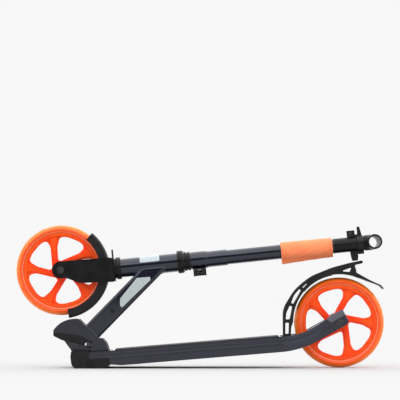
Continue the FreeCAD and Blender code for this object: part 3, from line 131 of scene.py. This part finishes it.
class Shade(Graph):
    """One node material with a Principled shader and short ways to add common patterns."""

    def __init__(self, name, color, roughness, metallic=0.0):
        self.material = bpy.data.materials.new(name)
        self.material.use_nodes = True
        super().__init__(self.material.node_tree)
        self.bsdf = next(n for n in self.nodes if n.type == "BSDF_PRINCIPLED")
        self.set("Base Color", (*color, 1.0))
        self.set("Roughness", roughness)
        self.set("Metallic", metallic)
        self.coords = self.add("ShaderNodeTexCoord").outputs["Object"]
        self.height = None

    def set(self, socket, value):
        self.bsdf.inputs[socket].default_value = value

    def plug(self, source, socket):
        self.links.new(source, self.bsdf.inputs[socket])

    def noise(self, scale, detail=3.0, roughness=0.5, vector=None):
        node = self.add("ShaderNodeTexNoise")
        node.inputs["Scale"].default_value = scale
        node.inputs["Detail"].default_value = detail
        node.inputs["Roughness"].default_value = roughness
        self.links.new(vector or self.coords, node.inputs["Vector"])
        return node.outputs["Fac"]

    def ramp(self, source, stops, interpolation="LINEAR"):
        """A colour ramp; each stop is a place and a grey level or an RGB tuple."""
        node = self.add("ShaderNodeValToRGB")
        ramp = node.color_ramp
        ramp.interpolation = interpolation
        while len(ramp.elements) < len(stops):
            ramp.elements.new(0.5)
        for element, (place, color) in zip(ramp.elements, stops):
            element.position = place
            element.color = (*color, 1.0) if isinstance(color, tuple) else (color,) * 3 + (1.0,)
        self.links.new(source, node.inputs["Fac"])
        return node.outputs["Color"]

    def mix(self, factor, first, second):
        """Mix two colours; each is an RGB tuple or a socket."""
        node = self.add("ShaderNodeMix", data_type="RGBA")
        for socket, value in ((node.inputs[0], factor), (node.inputs[6], first), (node.inputs[7], second)):
            if isinstance(value, tuple):
                socket.default_value = (*value, 1.0)
            elif isinstance(value, (int, float)):
                socket.default_value = value
            else:
                self.links.new(value, socket)
        return node.outputs[2]

    def moved(self, offset, rotation=(0, 0, 0), scale=(1, 1, 1)):
        """Object coordinates after a shift, so that a pattern can be centred on a part."""
        shift = self.add("ShaderNodeVectorMath", operation="SUBTRACT")
        shift.inputs[1].default_value = offset
        self.links.new(self.coords, shift.inputs[0])
        turn = self.add("ShaderNodeMapping")
        turn.inputs["Rotation"].default_value = rotation
        turn.inputs["Scale"].default_value = scale
        self.links.new(shift.outputs[0], turn.inputs["Vector"])
        return turn.outputs[0]

    def radius(self, centre):
        """Distance from a wheel's axis."""
        x, _, z = self.parts(self.moved(centre))
        return self.math("SQRT", self.math("ADD", self.math("MULTIPLY", x, x), self.math("MULTIPLY", z, z)))

    def vary(self, source, socket, low, high):
        """Let a noise drive a shader socket between low and high."""
        self.plug(self.span(source, 0.3, 0.7, low, high), socket)

    def bump(self, source, distance, strength=1.0):
        """Add relief on top of the relief so far."""
        node = self.add("ShaderNodeBump")
        node.inputs["Strength"].default_value = strength
        node.inputs["Distance"].default_value = distance
        self.links.new(source, node.inputs["Height"])
        if self.height is not None:
            self.links.new(self.height, node.inputs["Normal"])
        self.height = node.outputs["Normal"]
        self.plug(self.height, "Normal")

    def round_edges(self, radius):
        """Soft light on sharp edges; called before any bump."""
        node = self.add("ShaderNodeBevel", samples=4)
        node.inputs["Radius"].default_value = radius
        self.height = node.outputs["Normal"]
        self.plug(self.height, "Normal")


def scratches(shade, amount, low, high, scale=90.0):
    """Uneven polish: a broad mottle with finer grain, on roughness."""
    mottle = shade.math("MULTIPLY", shade.noise(scale, 4.0), 0.6)
    grain = shade.math("MULTIPLY", shade.noise(scale * 9.0, 2.0), 0.4)
    both = shade.math("ADD", mottle, grain)
    shade.plug(shade.span(both, 0.5 - amount, 0.5 + amount, low, high), "Roughness")


# ---------------------------------------------------------------- materials


NAVY_DARK, NAVY = (0.007, 0.008, 0.020), (0.010, 0.012, 0.027)
NAVY_FLAKE = (0.024, 0.028, 0.052)


def lacquer(name):
    """Deep navy metallic lacquer under a clear coat; returns the Shade, so that relief can be added."""
    shade = Shade(name, (0.03, 0.032, 0.056), 0.22, 0.55)
    shade.round_edges(0.5 * MM)
    flakes = shade.noise(2600.0, 2.0)
    drift = shade.noise(14.0, 3.0)
    tone = shade.mix(shade.span(drift, 0.3, 0.7), NAVY_DARK, NAVY)
    shade.plug(shade.mix(shade.span(flakes, 0.5, 0.8, 0.0, 0.35), tone, NAVY_FLAKE), "Base Color")
    scratches(shade, 0.2, 0.20, 0.30)
    shade.set("Specular IOR Level", 0.3)
    shade.set("Coat Weight", 0.9)
    shade.set("Coat Roughness", 0.04)
    shade.bump(shade.noise(420.0, 2.0), 0.04 * MM, 0.15)
    return shade


# The upper edge of the rails in the side view: one line along the deck, one along the rear arm.
DECK_POINT, DECK_TILT = (0.0, 48.4 * MM), math.radians(4.7)
ARM_TILT, ARM_TOP = math.radians(29.9), 18.2 * MM
BEND_BLEND = 17.0 * MM
# Their side profile: share of the depth below that edge, and height of the surface there.
RAIL_PROFILE = (
    (0.0, 0.35), (0.14, 0.62), (0.23, 1.0), (0.30, 0.42),
    (0.38, 0.30), (0.46, 0.85), (0.66, 1.0), (1.0, 0.45),
)
RAIL_PROFILE_DEPTH = 29.0 * MM
RAIL_RELIEF = 2.6 * MM


def rail_paint():
    """The same lacquer over the extruded side profile of the rails: a rib, a groove and a belly."""
    shade = lacquer("rail_lacquer")
    x, _, z = shade.parts(shade.coords)

    def edge(point, tilt):
        slope = math.tan(tilt)
        return shade.math("ADD", shade.math("MULTIPLY", x, slope), point[1] - slope * point[0])

    axle = AXLES["rear"]
    arm_point = (axle.x - ARM_TOP * math.sin(ARM_TILT), axle.z + ARM_TOP * math.cos(ARM_TILT))
    deck_edge, arm_edge = edge(DECK_POINT, DECK_TILT), edge(arm_point, ARM_TILT)
    joined = shade.add("ShaderNodeMath", operation="SMOOTH_MAX")
    shade.links.new(deck_edge, joined.inputs[0])
    shade.links.new(arm_edge, joined.inputs[1])
    joined.inputs[2].default_value = BEND_BLEND
    ahead = shade.math("SUBTRACT", arm_edge, deck_edge)
    squeeze = shade.span(ahead, -BEND_BLEND, BEND_BLEND, math.cos(DECK_TILT), math.cos(ARM_TILT))
    depth = shade.math("MULTIPLY", shade.math("SUBTRACT", joined.outputs[0], z), squeeze)
    share = shade.math("DIVIDE", depth, RAIL_PROFILE_DEPTH, clamp=True)
    shade.bump(shade.ramp(share, RAIL_PROFILE, "B_SPLINE"), RAIL_RELIEF)
    return shade.material


COAT_BLACK = (0.0035, 0.0035, 0.004)


def satin_black(name, color=COAT_BLACK, roughness=0.36):
    """Powder coat on the fork, headset and stem."""
    shade = Shade(name, color, roughness)
    shade.round_edges(0.45 * MM)
    grain = shade.noise(1500.0, 3.0)
    mottle = shade.noise(40.0, 3.0)
    lighter = tuple(channel * 1.8 + 0.001 for channel in color)
    shade.plug(shade.mix(shade.span(mottle, 0.35, 0.7), color, lighter), "Base Color")
    shade.vary(mottle, "Roughness", roughness - 0.06, roughness + 0.08)
    shade.set("Specular IOR Level", 0.22)
    shade.bump(grain, 0.08 * MM, 0.3)
    return shade.material


def moulded_plastic(name, color, roughness=0.48):
    """Moulded plastic with a fine spark-eroded texture and scuffed high spots."""
    shade = Shade(name, color, roughness)
    shade.round_edges(0.5 * MM)
    texture = shade.noise(2200.0, 2.0)
    scuffs = shade.noise(120.0, 6.0, 0.65)
    lighter = tuple(channel * 1.5 + 0.003 for channel in color)
    shade.plug(shade.mix(shade.span(scuffs, 0.52, 0.75), color, lighter), "Base Color")
    shade.vary(scuffs, "Roughness", roughness - 0.05, roughness + 0.12)
    shade.set("Specular IOR Level", 0.32)
    shade.bump(texture, 0.07 * MM, 0.5)
    return shade.material


def metal(name, color, roughness, grain_scale=300.0):
    """Turned or plated steel with fine turning marks."""
    shade = Shade(name, color, roughness, 1.0)
    shade.round_edges(0.3 * MM)
    marks = shade.noise(grain_scale, 2.0, 0.5, shade.moved((0, 0, 0), scale=(1.0, 12.0, 1.0)))
    stain = shade.noise(70.0, 4.0)
    darker = tuple(channel * 0.6 for channel in color)
    shade.plug(shade.mix(shade.span(stain, 0.4, 0.75), color, darker), "Base Color")
    shade.vary(marks, "Roughness", roughness * 0.8, roughness * 1.35)
    shade.bump(marks, 0.03 * MM, 0.3)
    return shade.material


GRAIN_TOP, GRAIN_GAP, GRAIN_WORN = (0.07, 0.07, 0.078), (0.012, 0.012, 0.015), (0.06, 0.06, 0.065)
GRAINS_PER_METRE = 1500.0


def grip_paper():
    """Coarse anti-slip sheet: dark grains in a rubbery binder."""
    shade = Shade("grip_paper", (0.02, 0.02, 0.024), 0.85)
    grit = shade.add("ShaderNodeTexVoronoi")
    grit.inputs["Scale"].default_value = GRAINS_PER_METRE
    shade.links.new(shade.coords, grit.inputs["Vector"])
    worn = shade.noise(28.0, 4.0)
    tone = shade.mix(shade.span(grit.outputs["Distance"], 0.1, 0.6), GRAIN_TOP, GRAIN_GAP)
    shade.plug(shade.mix(shade.span(worn, 0.5, 0.8, 0.0, 0.35), tone, GRAIN_WORN), "Base Color")
    shade.vary(worn, "Roughness", 0.72, 0.92)
    shade.bump(grit.outputs["Distance"], 0.35 * MM, 0.8)
    return shade.material


# The red of the wheel core: two shades of its flow, and a deeper one near the hub.
CORE_RED, CORE_ORANGE, CORE_DEEP = (1.0, 0.070, 0.004), (1.0, 0.100, 0.006), (0.95, 0.030, 0.002)
HUB_REACH, SPOKE_REACH = 20.0 * MM, 60.0 * MM


def wheel_core(name, centre):
    """Glossy cast orange-red wheel core, deeper in colour towards the hub."""
    shade = Shade(name, (0.93, 0.055, 0.008), 0.34)
    shade.round_edges(0.8 * MM)
    radius = shade.radius(centre)
    flow = shade.noise(22.0, 3.0)
    tone = shade.mix(shade.span(flow, 0.3, 0.7), CORE_RED, CORE_ORANGE)
    outer = shade.span(radius, HUB_REACH, SPOKE_REACH)
    shade.plug(shade.mix(outer, shade.mix(0.5, tone, CORE_DEEP), tone), "Base Color")
    scratches(shade, 0.2, 0.28, 0.42, 60.0)
    shade.set("Specular IOR Level", 0.25)
    shade.set("Subsurface Weight", 0.5)
    shade.set("Subsurface Radius", (1.0, 0.28, 0.05))
    shade.set("Subsurface Scale", 8.0 * MM)
    shade.set("Coat Weight", 0.12)
    shade.set("Coat Roughness", 0.15)
    shade.bump(shade.noise(700.0, 2.0), 0.04 * MM, 0.3)
    return shade.material


# The tyre, from where it meets the core out to its tread (lighter there: partly the clearer edge, partly painted
# light), and the pale ring on its side.
TYRE_INNER, TYRE_TREAD = 76.0 * MM, 87.5 * MM
TYRE_RED, TYRE_LIT_AMBER, TYRE_CLOUD = (1.0, 0.085, 0.008), (1.0, 0.24, 0.022), (1.0, 0.13, 0.010)
LINE_RADIUS = 74.5 * MM
LINE_HALF_WIDTH = 0.45 * MM
LINE_COLOR = (1.0, 0.46, 0.30)


def tyre_material(name, centre):
    """Poured polyurethane: red-orange at the core, lighter and more yellow towards the tread, partly for its
    clearer, thinner edge and partly as painted light falling on the crown.
    """
    shade = Shade(name, (1.0, 0.16, 0.02), 0.3)
    radius = shade.radius(centre)
    cloud = shade.noise(30.0, 3.0)
    # Painted light: the lighter amber at the tread end of this ramp stands partly for light falling on the crown,
    # and partly for the clearer edge.
    tone = shade.mix(shade.span(radius, TYRE_INNER, TYRE_TREAD), TYRE_RED, TYRE_LIT_AMBER)
    tone = shade.mix(shade.span(cloud, 0.3, 0.7, 0.0, 0.3), tone, TYRE_CLOUD)
    away = shade.math("ABSOLUTE", shade.math("SUBTRACT", radius, LINE_RADIUS))
    line = shade.span(away, LINE_HALF_WIDTH * 0.5, LINE_HALF_WIDTH * 1.5, 0.75, 0.0)
    shade.plug(shade.mix(line, tone, LINE_COLOR), "Base Color")
    scratches(shade, 0.2, 0.24, 0.40, 60.0)
    shade.set("Specular IOR Level", 0.3)
    shade.set("Subsurface Weight", 0.55)
    shade.set("Subsurface Radius", (1.0, 0.30, 0.06))
    shade.set("Subsurface Scale", 7.0 * MM)
    shade.bump(shade.noise(160.0, 3.0), 0.10 * MM, 0.3)
    return shade.material


def trim_film(name, color, lighter):
    """Satin film with a fine brushed mottle, on the down tube and the head tube."""
    shade = Shade(name, color, 0.32, 0.35)
    brushed = shade.noise(900.0, 3.0)
    shade.plug(shade.mix(shade.span(brushed, 0.35, 0.7), color, lighter), "Base Color")
    shade.vary(brushed, "Roughness", 0.26, 0.40)
    shade.set("Coat Weight", 0.4)
    shade.set("Coat Roughness", 0.1)
    shade.bump(shade.noise(240.0, 2.0), 0.02 * MM, 0.2)
    return shade.material


CLOTH_DEEP, CLOTH_PALE, CLOTH_GAP = (0.99, 0.235, 0.085), (1.0, 0.285, 0.115), (0.85, 0.17, 0.055)
WEAVE_SCALE = 260.0


def sleeve_cloth():
    """Orange woven cloth over thin foam."""
    shade = Shade("sleeve_cloth", (1.0, 0.25, 0.09), 0.78)
    along = shade.moved(tuple(COLUMN_POINT), (0, math.atan2(COLUMN_AXIS.z, COLUMN_AXIS.x), 0))
    warp = shade.add("ShaderNodeTexWave", wave_type="BANDS", bands_direction="X")
    weft = shade.add("ShaderNodeTexWave", wave_type="BANDS", bands_direction="DIAGONAL")
    for wave in (warp, weft):
        wave.inputs["Scale"].default_value = WEAVE_SCALE
        wave.inputs["Distortion"].default_value = 1.5
        shade.links.new(along, wave.inputs["Vector"])
    weave = shade.math("MULTIPLY", warp.outputs["Fac"], weft.outputs["Fac"])
    fade = shade.noise(32.0, 4.0)
    tone = shade.mix(shade.span(fade, 0.3, 0.7), CLOTH_DEEP, CLOTH_PALE)
    shade.plug(shade.mix(shade.span(weave, 0.0, 0.7, 0.25, 0.0), tone, CLOTH_GAP), "Base Color")
    shade.vary(fade, "Roughness", 0.7, 0.85)
    shade.set("Sheen Weight", 0.35)
    shade.set("Sheen Roughness", 0.45)
    shade.set("Sheen Tint", (1.0, 0.72, 0.58, 1.0))
    shade.bump(weave, 0.18 * MM, 0.55)
    shade.bump(shade.noise(90.0, 3.0), 0.5 * MM, 0.3)
    return shade.material


def thread():
    """Twisted sewing thread, a little darker than the cloth."""
    shade = Shade("sleeve_thread", (0.80, 0.13, 0.045), 0.6)
    twist = shade.noise(1800.0, 2.0)
    shade.plug(shade.mix(twist, (0.70, 0.10, 0.03), (0.95, 0.22, 0.08)), "Base Color")
    shade.bump(twist, 0.05 * MM, 0.6)
    return shade.material


def weld_metal():
    """Painted weld bead: the lacquer over ripples."""
    shade = Shade("weld_lacquer", (0.060, 0.060, 0.095), 0.3, 0.7)
    ripple = shade.noise(500.0, 3.0)
    shade.plug(shade.mix(ripple, (0.045, 0.046, 0.075), (0.085, 0.083, 0.125)), "Base Color")
    shade.set("Coat Weight", 0.6)
    shade.set("Coat Roughness", 0.1)
    shade.bump(ripple, 0.1 * MM, 0.4)
    return shade.material


# ---------------------------------------------------------------- finishes on the CAD nodes

finishes = {
    "frame_paint": lacquer("navy_lacquer").material,
    "rail_paint": rail_paint(),
    "grip": grip_paper(),
    "black_plastic": moulded_plastic("black_plastic", (0.006, 0.006, 0.007), 0.42),
    "grey_plastic": moulded_plastic("grey_plastic", (0.105, 0.102, 0.128), 0.42),
    "black_metal": satin_black("black_coat"),
    "dark_bolt": metal("black_oxide", (0.11, 0.11, 0.12), 0.24),
    "bright_steel": metal("ground_steel", (0.58, 0.58, 0.60), 0.28),
    "bush_plastic": moulded_plastic("bush_plastic", (0.05, 0.05, 0.05), 0.4),
    "brake_lining": moulded_plastic("brake_lining", (0.03, 0.03, 0.03), 0.8),
    "silver_trim": trim_film("silver_film", (0.50, 0.56, 0.57), (0.56, 0.62, 0.63)),
    "pale_trim": trim_film("pale_film", (0.34, 0.39, 0.42), (0.40, 0.45, 0.48)),
}
# Each node takes its record slot's finish; the rails, the lock pin and the wheels have their own.
slots = {entry["node"]: entry["material_slot"] for entry in frame["record"]["subparts"]}
slots.update(deck_rail_left="rail_paint", deck_rail_right="rail_paint", lock_skewer="dark_bolt")
for prefix, centre in AXLES.items():
    finishes[prefix + "_core"] = wheel_core(prefix + "_core", centre)
    finishes[prefix + "_tyre"] = tyre_material(prefix + "_tyre", centre)
    slots[prefix + "_rim"] = prefix + "_core"
    slots[prefix + "_tyre"] = prefix + "_tyre"


def paint(node, material):
    """Give a CAD node one material in all its slots."""
    mesh = nodes[node].data
    if not mesh.materials:
        mesh.materials.append(material)
    for index in range(len(mesh.materials)):
        mesh.materials[index] = material


for node, slot in slots.items():
    if slot in finishes:
        paint(node, finishes[slot])

# ---------------------------------------------------------------- mesh helpers


def mesh_object(name, vertices, faces, material, smooth=True):
    """A new object from points and faces, with one material."""
    mesh = bpy.data.meshes.new(name)
    mesh.from_pydata([tuple(v) for v in vertices], [], faces)
    mesh.materials.append(material)
    mesh.update()
    if smooth:
        mesh.shade_smooth()
    obj = bpy.data.objects.new(name, mesh)
    bpy.context.scene.collection.objects.link(obj)
    return obj


# A direction that no bead runs along, to set up each ring across its path.
OBLIQUE = Vector((0.31, 0.87, 0.38))


def loop_tube(name, points, radius, material, sides=10, ripple=0.0, ripple_count=0):
    """A closed bead along a loop of points, with an optional rippled thickness."""
    count = len(points)
    vertices, faces = [], []
    for index, point in enumerate(points):
        ahead = (points[(index + 1) % count] - points[index - 1]).normalized()
        side = ahead.cross(OBLIQUE).normalized()
        other = ahead.cross(side)
        swell = 1.0 + ripple * math.sin(2 * math.pi * ripple_count * index / count)
        for step in range(sides):
            angle = 2 * math.pi * step / sides
            offset = side * math.cos(angle) + other * math.sin(angle)
            vertices.append(point + offset * radius * swell)
    for index in range(count):
        following = (index + 1) % count
        for step in range(sides):
            nearby = (step + 1) % sides
            faces.append((index * sides + step, index * sides + nearby,
                          following * sides + nearby, following * sides + step))
    return mesh_object(name, vertices, faces, material)


# ---------------------------------------------------------------- carry sleeve

SLEEVE_RINGS = 64
SLEEVE_SIDES = 96
TUBE_RADIUS = 14.35 * MM
PAD_RADIUS = (18.0 * MM, 16.9 * MM)
SEAM_REACH = (7.2 * MM, 4.2 * MM)
SEAM_HALF_ANGLE = math.radians(13)
HEM = 5.0 * MM
HEM_TUCK, TUCK_WIDTH = 0.55 * MM, 0.9 * MM
EDGE_ROUNDING, EDGE_REACH = 0.9 * MM, 1.2 * MM
WRINKLE = 0.22 * MM
LINING_GAP = 0.15 * MM
PUFF_PRESSURE, PUFF_FRAMES, PUFF_CAP = 3.0, 16, 1.0 * MM


def sleeve_radius(part, angle):
    """Outer radius at a share of the length and an angle from straight down."""
    base = PAD_RADIUS[0] * (1 - part) + PAD_RADIUS[1] * part
    reach = SEAM_REACH[0] * (1 - part) ** 1.3 + SEAM_REACH[1] * part
    seam = math.exp(-(angle / SEAM_HALF_ANGLE) ** 2)
    return base + reach * seam


def build_sleeve():
    """A foam-lined wrap with a seam flange underneath; the cloth puffs between its stitched ends."""
    start, end = node_span("carry_sleeve")
    rings = []
    for ring in range(SLEEVE_RINGS + 1):
        part = ring / SLEEVE_RINGS
        edge = min(part, 1 - part) * (end - start)
        rings.append((start + (end - start) * part, part, edge))
    outer, inner = [], []
    for along, part, edge in rings:
        tuck = HEM_TUCK * math.exp(-((edge - HEM) / TUCK_WIDTH) ** 2)
        rounding = EDGE_ROUNDING * max(0.0, 1 - edge / EDGE_REACH) ** 2
        outer_ring, inner_ring = [], []
        for step in range(SLEEVE_SIDES):
            angle = 2 * math.pi * step / SLEEVE_SIDES
            from_seam = min(angle, 2 * math.pi - angle)
            wave = WRINKLE * math.sin(9 * angle + 21 * part) * math.sin(math.pi * part)
            radius = sleeve_radius(part, from_seam) - tuck - rounding + wave
            direction = outward(angle)
            centre = on_column(along)
            outer_ring.append(centre + direction * radius)
            inner_ring.append(centre + direction * (TUBE_RADIUS + LINING_GAP))
        outer.append(outer_ring)
        inner.append(inner_ring)
    vertices = [v for ring in outer for v in ring] + [v for ring in inner for v in ring]
    offset = (SLEEVE_RINGS + 1) * SLEEVE_SIDES
    faces = []
    for ring in range(SLEEVE_RINGS):
        for step in range(SLEEVE_SIDES):
            nearby = (step + 1) % SLEEVE_SIDES
            a, b = ring * SLEEVE_SIDES + step, ring * SLEEVE_SIDES + nearby
            c, d = a + SLEEVE_SIDES, b + SLEEVE_SIDES
            faces.append((a, b, d, c))
            faces.append((offset + c, offset + d, offset + b, offset + a))
    last = SLEEVE_RINGS * SLEEVE_SIDES
    for step in range(SLEEVE_SIDES):
        nearby = (step + 1) % SLEEVE_SIDES
        faces.append((offset + step, offset + nearby, nearby, step))
        faces.append((last + step, last + nearby, offset + last + nearby, offset + last + step))
    sleeve = mesh_object("sleeve_cover", vertices, faces, sleeve_cloth())
    pinned = sleeve.vertex_groups.new(name="held")
    for ring, (_, _, edge) in enumerate(rings):
        for step in range(SLEEVE_SIDES):
            index = ring * SLEEVE_SIDES + step
            from_seam = min(step, SLEEVE_SIDES - step) / SLEEVE_SIDES * 2 * math.pi
            if edge < HEM * 1.1 or from_seam < SEAM_HALF_ANGLE * 1.6:
                pinned.add([index], 1.0, "REPLACE")
            pinned.add([offset + index], 1.0, "REPLACE")
    return sleeve


def puff(obj, pressure, frames, cap):
    """Short cloth simulation with its result written into the mesh; no point moves past cap."""
    before = [v.co.copy() for v in obj.data.vertices]
    cloth = obj.modifiers.new("cloth", "CLOTH")
    cloth.settings.vertex_group_mass = "held"
    cloth.settings.use_pressure = True
    cloth.settings.uniform_pressure_force = pressure
    cloth.settings.quality = 6
    cloth.settings.mass = 0.4
    cloth.settings.tension_stiffness = 20
    cloth.settings.compression_stiffness = 20
    cloth.settings.bending_stiffness = 2
    cloth.settings.effector_weights.gravity = 0.0
    cloth.point_cache.frame_end = frames
    scene = bpy.context.scene
    for step in range(1, frames + 1):
        scene.frame_set(step)
    evaluated = obj.evaluated_get(bpy.context.evaluated_depsgraph_get())
    after = [v.co.copy() for v in evaluated.data.vertices]
    obj.modifiers.remove(cloth)
    for vertex, old, new in zip(obj.data.vertices, before, after):
        move = new - old
        if move.length > cap:
            move *= cap / move.length
        vertex.co = old + move
    scene.frame_set(1)
    obj.data.update()


sleeve = build_sleeve()
puff(sleeve, PUFF_PRESSURE, PUFF_FRAMES, PUFF_CAP)
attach(sleeve, "handlebar")
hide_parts("carry_sleeve")


HEM_STITCHES, SEAM_STITCHES = 44, 36
STITCH_RADIUS, STITCH_HALF_LENGTH = 0.24 * MM, 1.0 * MM
HEM_SINK, SEAM_RISE = 0.35 * MM, 0.05 * MM
SEAM_INSET = 0.06


def build_stitches():
    """Short thread dashes round both hems and along both sides of the seam."""
    start, end = node_span("carry_sleeve")
    length = end - start
    mesh = bmesh.new()
    shape = Matrix.Diagonal((STITCH_RADIUS, STITCH_RADIUS, STITCH_HALF_LENGTH, 1.0))

    def dash(centre, direction):
        turn = direction.to_track_quat("Z", "Y").to_matrix().to_4x4()
        place = Matrix.Translation(centre) @ turn @ shape
        bmesh.ops.create_uvsphere(mesh, u_segments=8, v_segments=6, radius=1.0, matrix=place)

    for along in (start + HEM, end - HEM):
        part = (along - start) / length
        for step in range(HEM_STITCHES):
            angle = 2 * math.pi * (step + 0.5) / HEM_STITCHES
            from_seam = min(angle, 2 * math.pi - angle)
            radius = sleeve_radius(part, from_seam) - HEM_SINK
            direction = outward(angle)
            tangent = COLUMN_UP * math.sin(angle) + SIDEWAYS * math.cos(angle)
            dash(on_column(along) + direction * radius, tangent)
    for side in (-1, 1):
        angle = side * SEAM_HALF_ANGLE * 1.35
        direction = outward(angle)
        for step in range(SEAM_STITCHES):
            part = SEAM_INSET + (1 - 2 * SEAM_INSET) * step / (SEAM_STITCHES - 1)
            radius = sleeve_radius(part, abs(angle)) + SEAM_RISE
            dash(on_column(start + length * part) + direction * radius, COLUMN_AXIS)
    data = bpy.data.meshes.new("sleeve_stitches")
    mesh.to_mesh(data)
    mesh.free()
    data.materials.append(thread())
    data.shade_smooth()
    obj = bpy.data.objects.new("sleeve_stitches", data)
    bpy.context.scene.collection.objects.link(obj)
    return obj


stitches = build_stitches()
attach(stitches, "handlebar")

# ---------------------------------------------------------------- weld beads

# The down tube's box section, its tilt and offset from the fold pivot, and where the knuckle ends on it.
DOWN_TUBE_TILT = math.radians(45.7)
DOWN_TUBE_OFFSET = -4.3 * MM
HALF_DEPTH, HALF_WIDTH, TUBE_CORNER = 17.7 * MM, 17.0 * MM, 6.0 * MM
HEAD_RADIUS = 18.4 * MM
KNUCKLE_END = 42.3 * MM
HEAD_BEAD, KNUCKLE_BEAD = 1.3 * MM, 0.9 * MM
weld_finish = weld_metal()
tube_run = Vector((math.cos(DOWN_TUBE_TILT), 0, math.sin(DOWN_TUBE_TILT)))
tube_up = Vector((-math.sin(DOWN_TUBE_TILT), 0, math.cos(DOWN_TUBE_TILT)))


def tube_outline(steps=160):
    """Points round the down tube's rounded box section, as offsets from its centre line."""
    points = []
    flat_y, flat_z = HALF_WIDTH - TUBE_CORNER, HALF_DEPTH - TUBE_CORNER
    for index in range(steps):
        angle = 2 * math.pi * index / steps
        across, up = math.cos(angle), math.sin(angle)
        reach = min(HALF_WIDTH / max(abs(across), 1e-6), HALF_DEPTH / max(abs(up), 1e-6))
        y, z = across * reach, up * reach
        if abs(y) > flat_y and abs(z) > flat_z:
            corner = Vector((math.copysign(flat_y, y), math.copysign(flat_z, z)))
            ray = Vector((across, up))
            middle = ray.dot(corner)
            reach = middle + math.sqrt(middle ** 2 - corner.length_squared + TUBE_CORNER ** 2)
            y, z = across * reach, up * reach
        points.append(Vector((0, y, 0)) + tube_up * z)
    return points


def head_tube_weld():
    """Where the down tube meets the head tube all round."""
    base = PIVOT + tube_up * DOWN_TUBE_OFFSET
    path = []
    for offset in tube_outline():
        start = base + offset - COLUMN_POINT
        a = tube_run - COLUMN_AXIS * tube_run.dot(COLUMN_AXIS)
        b = start - COLUMN_AXIS * start.dot(COLUMN_AXIS)
        square, half, rest = a.dot(a), a.dot(b), b.dot(b) - HEAD_RADIUS ** 2
        inside = max(half ** 2 - square * rest, 0.0)
        reach = (-half - math.sqrt(inside)) / square
        path.append(base + offset + tube_run * reach)
    return loop_tube("head_tube_weld", path, HEAD_BEAD, weld_finish, ripple=0.16, ripple_count=62)


def knuckle_weld():
    """Where the down tube enters the knuckle."""
    base = PIVOT + tube_up * DOWN_TUBE_OFFSET + tube_run * KNUCKLE_END
    path = [base + offset for offset in tube_outline()]
    return loop_tube("knuckle_weld", path, KNUCKLE_BEAD, weld_finish, ripple=0.14, ripple_count=58)


for bead in (head_tube_weld(), knuckle_weld()):
    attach(bead, "neck")

# ---------------------------------------------------------------- studio

BACKDROP = 0.935
# Bands of the sky, as shares of its height or depth, and the light in them.
OVERHEAD_BAND, OVERHEAD_STRENGTH = (0.46, 0.60), 2.7
FRONT_BAND, SURROUND_STRENGTH = (-0.95, -0.80), (0.05, 1.75)
HORIZON_BAND = (0.50, 0.62)
FLOOR_ALBEDO = 0.479
FLOOR_HALF_SIZE = 40.0
FLOOR_GAP = 0.2 * MM
SENSOR_WIDTH = 36.0
CAMERA_DISTANCE = 4.0
CAMERA_HEIGHT = 0.139
AIM_HEIGHT = 0.3265
LENS = 184.2


def build_world():
    """A soft overhead light and pale surroundings, darker in front; plain pale to the camera."""
    world = bpy.data.worlds.new("studio")
    world.use_nodes = True
    bpy.context.scene.world = world
    world.node_tree.nodes.clear()
    graph = Graph(world.node_tree)
    coords = graph.add("ShaderNodeTexCoord")
    _, depth, height = graph.parts(coords.outputs["Generated"])
    overhead = graph.span(height, *OVERHEAD_BAND, 0.0, OVERHEAD_STRENGTH)
    surround = graph.span(depth, *FRONT_BAND, *SURROUND_STRENGTH)
    low_part = graph.math("MULTIPLY", surround, graph.span(height, *HORIZON_BAND, 1.0, 0.0))
    strength = graph.math("ADD", overhead, low_part)
    lit = graph.add("ShaderNodeBackground")
    graph.links.new(strength, lit.inputs["Strength"])
    seen = graph.add("ShaderNodeBackground")
    seen.inputs["Color"].default_value = (BACKDROP, BACKDROP, BACKDROP, 1.0)
    path = graph.add("ShaderNodeLightPath")
    blend = graph.add("ShaderNodeMixShader")
    graph.links.new(path.outputs["Is Camera Ray"], blend.inputs[0])
    graph.links.new(lit.outputs[0], blend.inputs[1])
    graph.links.new(seen.outputs[0], blend.inputs[2])
    output = graph.add("ShaderNodeOutputWorld")
    graph.links.new(blend.outputs[0], output.inputs["Surface"])


def build_floor():
    """A plain pale floor just under the object."""
    size = FLOOR_HALF_SIZE
    corners = [(-size, -size, 0), (size, -size, 0), (size, size, 0), (-size, size, 0)]
    shade = Shade("floor_paper", (FLOOR_ALBEDO,) * 3, 0.9)
    shade.set("Specular IOR Level", 0.0)
    floor = mesh_object("floor", corners, [(0, 1, 2, 3)], shade.material, smooth=False)
    floor.location.z = cad_box[0].z - FLOOR_GAP


def build_camera():
    """A long lens low in front of the object, aimed a little upwards."""
    data = bpy.data.cameras.new("camera")
    camera = bpy.data.objects.new("camera", data)
    bpy.context.scene.collection.objects.link(camera)
    data.sensor_width = SENSOR_WIDTH
    data.lens = LENS
    data.clip_end = 200.0
    camera.location = (0.0, -CAMERA_DISTANCE, CAMERA_HEIGHT)
    aim = Vector((0.0, 0.0, AIM_HEIGHT)) - camera.location
    camera.rotation_euler = aim.to_track_quat("-Z", "Y").to_euler()
    bpy.context.scene.camera = camera


build_world()
build_floor()
build_camera()
bpy.context.scene.view_settings.view_transform = "Standard"
bpy.context.scene.view_settings.look = "None"
